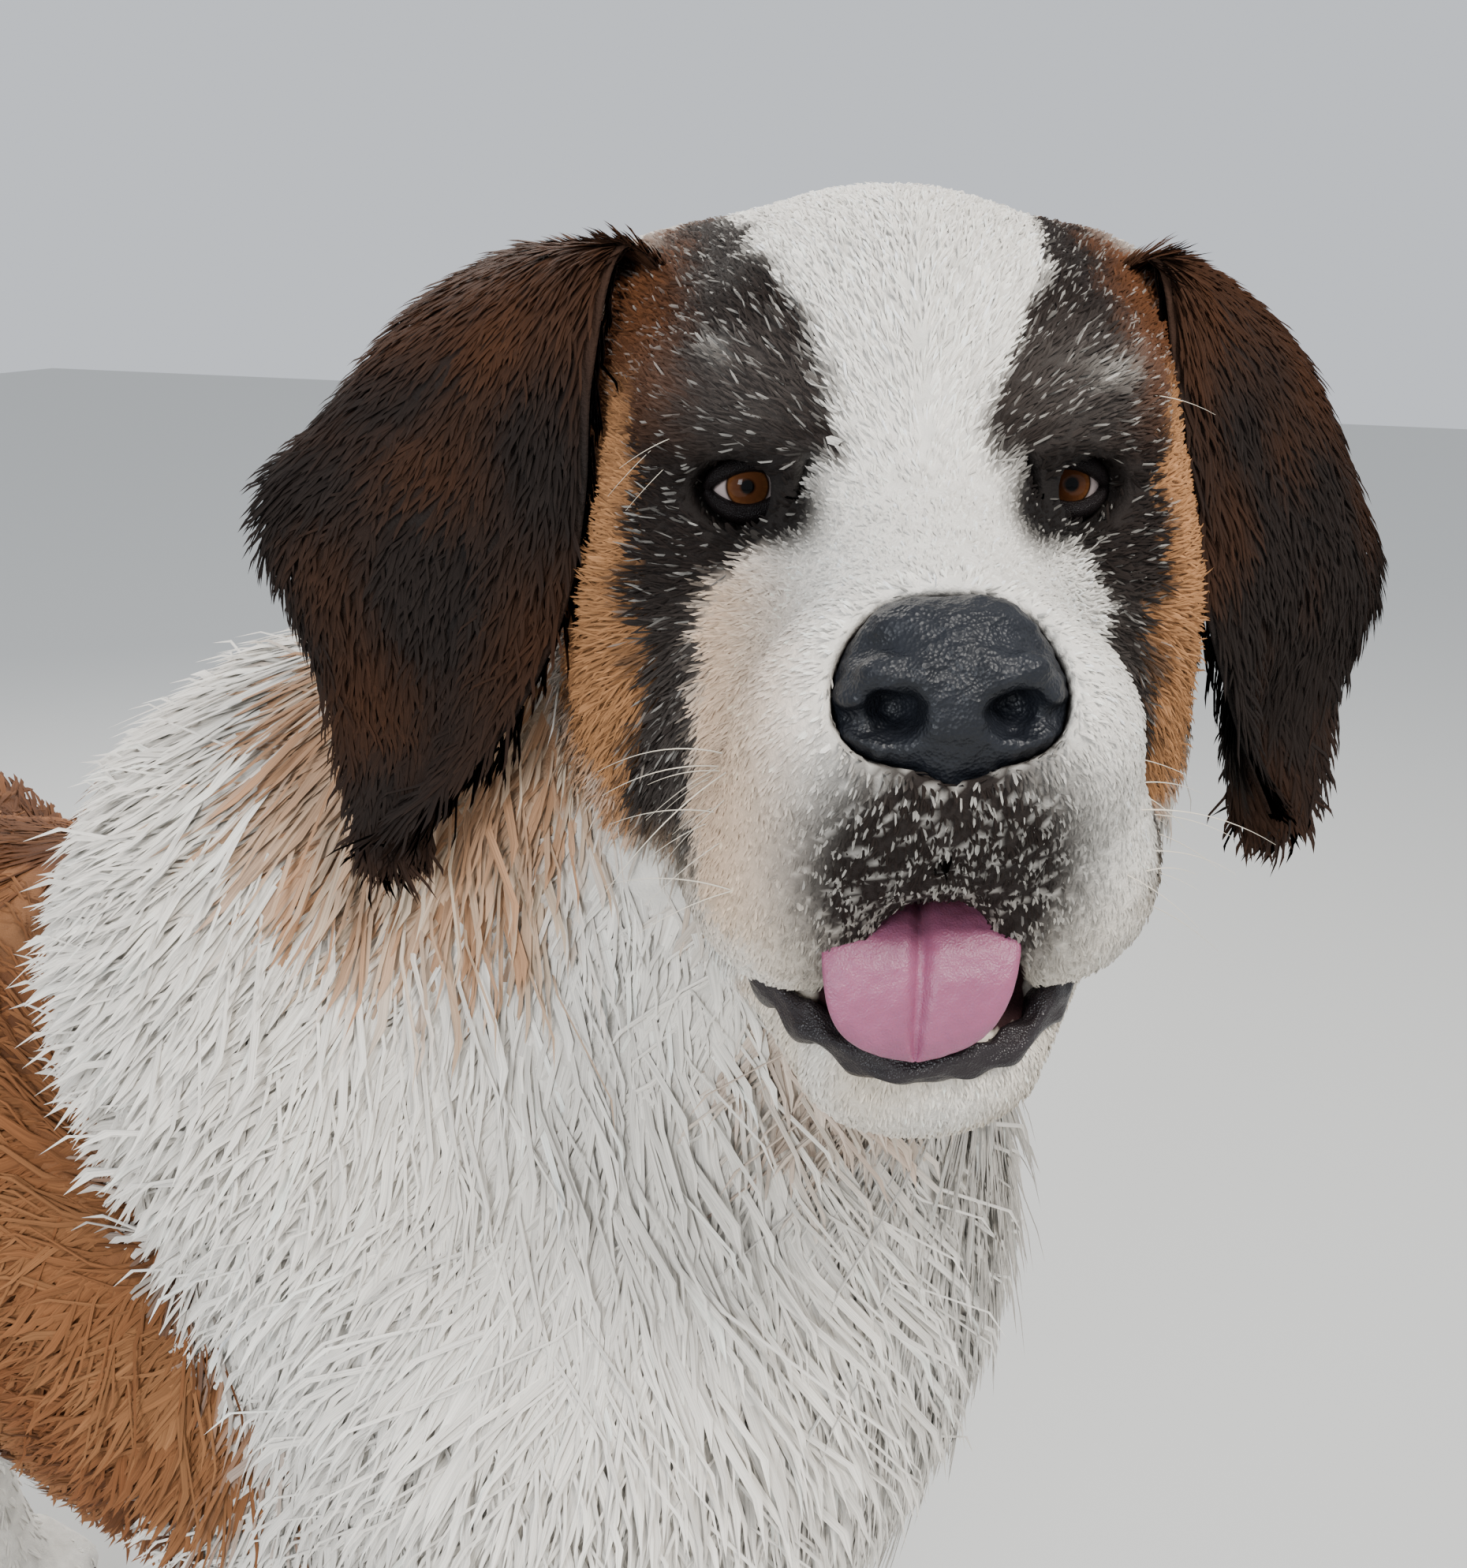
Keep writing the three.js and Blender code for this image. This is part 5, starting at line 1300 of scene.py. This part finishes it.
# The lower lip's rim from the left corner of the mouth to its middle
LIP_LINE = ((51, 16, -112), (52, 34, -121), (46, 56, -134), (33, 76, -145), (18, 89, -150), (0, 94, -151))
LIP_DARK = np.array([0.012, 0.010, 0.011])
LIP_RED = np.array([0.10, 0.035, 0.04])


class DOG_OT_lips(bpy.types.Operator):
    """Dark wavy rim of the lower lip, thick at the corners of the mouth: a bar along the lip, with waves in
    its path, its radius and its section"""
    bl_idname = "dog.lips"
    bl_label = "Lips"

    def execute(self, context):
        sides = 20
        t = np.linspace(0, 1, 240)
        path = curve(LIP_LINE + tuple((-x, f, u) for x, f, u in LIP_LINE[-2::-1]), t)
        corner = np.abs(2 * t - 1) ** 2
        path[:, 2] += np.sin(t * 95) * 2.6 * corner + np.sin(t * 31) * 0.8
        path[:, 0] += np.sin(t * 83) * 1.3 * corner
        turn = np.linspace(0, 2 * np.pi, sides, endpoint=False)[None]
        ends = np.sqrt(np.clip(np.minimum(t, 1 - t) * 18, 0.02, 1))
        radii = (3.6 + 3.4 * corner + 2.4 * np.sin(t * 74) * corner ** 0.5)[:, None] * ends[:, None]
        t = t[:, None]
        radii = radii * (1 + 0.14 * np.sin(3 * turn + 40 * t) + 0.08 * np.sin(5 * turn - 70 * t))
        q, quads = tube(path, radii, sides, 1.25)
        shade = mix(LIP_DARK, LIP_RED, 0.35 + 0.5 * waves(q, 16, 81))
        lip = add_mesh("lower_lip", from_head(q), quads, shade)
        colour = context.scene.dog_sizes.lip_colour
        lip.data.materials.append(leather_material("lip", colour, 0.3, 1500.0))
        return {"FINISHED"}


class DOG_OT_claws(bpy.types.Operator):
    """A claw at the front of each toe: a bar that bends down and tapers to its tip"""
    bl_idname = "dog.claws"
    bl_label = "Claws"

    def execute(self, context):
        claws = []
        t = np.linspace(0, 1, 9)
        radii = 4.4 * (1 - t ** 1.6)[:, None] + 0.3
        for centre, toe_out in PAWS:
            for k in TOES:
                root = (66 if abs(k) < 1 else 54) - 8
                aside = k * PAW_WIDTH * 0.252
                path = [paw_place(centre, toe_out, aside, root + 17 * a, 19 - 3 * a - 11 * a * a) for a in t]
                claws.append(tube(np.array(path), radii, 10, 0.85))
        made = add_mesh("claws", *joined(claws))
        horn, _, shader = material("claw", 0.35, 0.5)
        shader.inputs["Base Color"].default_value = context.scene.dog_sizes.claw_colour
        made.data.materials.append(horn)
        return {"FINISHED"}


WHISKER_COLOUR = (0.7, 0.62, 0.5, 1)


class DOG_OT_whiskers(bpy.types.Operator):
    """Fine feelers on the lips and over the eyes: thin bars that sag along their length"""
    bl_idname = "dog.whiskers"
    bl_label = "Whiskers"

    def execute(self, context):
        rng = np.random.default_rng(77)
        whiskers = []
        t = np.linspace(0, 1, 12)[:, None]
        for s in (1.0, -1.0):
            lip = [(s * rng.uniform(40, 58), rng.uniform(60, 100), rng.uniform(-104, -62)) for _ in range(14)]
            brow = [(s * rng.uniform(44, 60), rng.uniform(-4, 4), rng.uniform(18, 26)) for _ in range(5)]
            for start in lip + brow:
                long = rng.uniform(24, 52)
                way = np.array([s * rng.uniform(0.7, 1.0), rng.uniform(-0.5, 0.3), rng.uniform(-0.5, 0.25)])
                path = np.array(start) + way * t * long + np.array([0, -0.2, -0.35]) * long * t ** 2
                points, quads = tube(path, 0.28 * (1 - 0.85 * t), 5)
                whiskers.append((from_head(points), quads))
        made = add_mesh("whiskers", *joined(whiskers))
        hair, _, shader = material("whisker", 0.4, 0.4)
        shader.inputs["Base Color"].default_value = WHISKER_COLOUR
        made.data.materials.append(hair)
        return {"FINISHED"}


FLOOR_REACH = 9.0
SKY_COLOUR = (0.78, 0.82, 0.88, 1)
SKY_STRENGTH = 0.95
SENSOR_MM = 36.0
LIGHTS_AIM = np.array([-0.05, -0.1, 0.7])


class DOG_OT_stage(bpy.types.Operator):
    """Pale floor, soft light and the photograph's camera"""
    bl_idname = "dog.stage"
    bl_label = "Stage"

    def execute(self, context):
        scene = context.scene
        sizes = scene.dog_sizes
        place, right, up, ahead = camera_frame()
        data = bpy.data.cameras.new("camera")
        data.sensor_width = SENSOR_MM
        data.lens = SENSOR_MM * LENS_PX / FRAME_PX[1]
        camera = bpy.data.objects.new("camera", data)
        matrix = np.eye(4)
        matrix[:3] = np.stack([right, up, -ahead, to_scene(place)], -1)
        camera.matrix_world = Matrix(matrix.tolist())
        scene.collection.objects.link(camera)
        scene.camera = camera

        floor = bpy.data.meshes.new("floor")
        corners = [(-1, -1), (1, -1), (1, 1), (-1, 1)]
        floor.from_pydata([(x * FLOOR_REACH, y * FLOOR_REACH, 0) for x, y in corners], [], [(0, 1, 2, 3)])
        ground = bpy.data.objects.new("floor", floor)
        scene.collection.objects.link(ground)
        made, _, shader = material("floor", 0.9, 0.2)
        shader.inputs["Base Color"].default_value = sizes.floor_colour
        floor.materials.append(made)

        world = bpy.data.worlds.new("studio")
        world.use_nodes = True
        sky = world.node_tree.nodes["Background"]
        sky.inputs["Color"].default_value = SKY_COLOUR
        sky.inputs["Strength"].default_value = SKY_STRENGTH
        scene.world = world
        # name, place, size, share of the key's power, colour
        lights = (("key", (-1.0, -1.9, 2.9), 0.8, 1.0, (1.0, 0.97, 0.92)),
                  ("fill", (-4.6, -0.2, 2.3), 1.4, 1.5, (0.9, 0.95, 1.0)),
                  ("rim", (1.6, 1.2, 2.2), 1.2, 0.7, (1.0, 0.96, 0.9)))
        for name, place, size, share, colour in lights:
            lamp = bpy.data.lights.new(name, "AREA")
            lamp.size = size
            lamp.energy = sizes.key_watts * share
            lamp.color = colour
            light = bpy.data.objects.new(name, lamp)
            light.location = place
            light.rotation_euler = aim_angles(LIGHTS_AIM - np.array(place))
            scene.collection.objects.link(light)
        return {"FINISHED"}


def aim_angles(way):
    """Euler angles that turn a light's -Z along a direction."""
    return Vector(way).to_track_quat("-Z", "Y").to_euler()


SIZES = ("face_grid", "body_grid", "nose_colour", "lip_colour", "claw_colour", "floor_colour", "key_watts")


class DOG_PT_panel(bpy.types.Panel):
    """Lists the pieces of the dog"""
    bl_idname = "DOG_PT_panel"
    bl_label = "Saint Bernard"
    bl_space_type = "VIEW_3D"
    bl_region_type = "UI"
    bl_category = "Dog"

    def draw(self, context):
        for key in SIZES:
            self.layout.prop(context.scene.dog_sizes, key)
        for maker in OPERATORS:
            self.layout.operator(maker.bl_idname)


OPERATORS = (DOG_OT_stage, DOG_OT_skin, DOG_OT_nose, DOG_OT_eyes, DOG_OT_tongue, DOG_OT_lips, DOG_OT_coat,
             DOG_OT_ears, DOG_OT_claws, DOG_OT_whiskers)
CLASSES = (DOG_PG_sizes,) + OPERATORS + (DOG_PT_panel,)


def register():
    """Makes the operators, the panel and the scene's sizes known."""
    for made in CLASSES:
        bpy.utils.register_class(made)
    bpy.types.Scene.dog_sizes = bpy.props.PointerProperty(type=DOG_PG_sizes)


def unregister():
    """Takes them away again."""
    del bpy.types.Scene.dog_sizes
    for made in reversed(CLASSES):
        bpy.utils.unregister_class(made)


def main():
    """Makes every piece in order."""
    register()
    for maker in OPERATORS:
        group, name = maker.bl_idname.split(".")
        getattr(getattr(bpy.ops, group), name)()


if __name__ == "__main__":
    main()
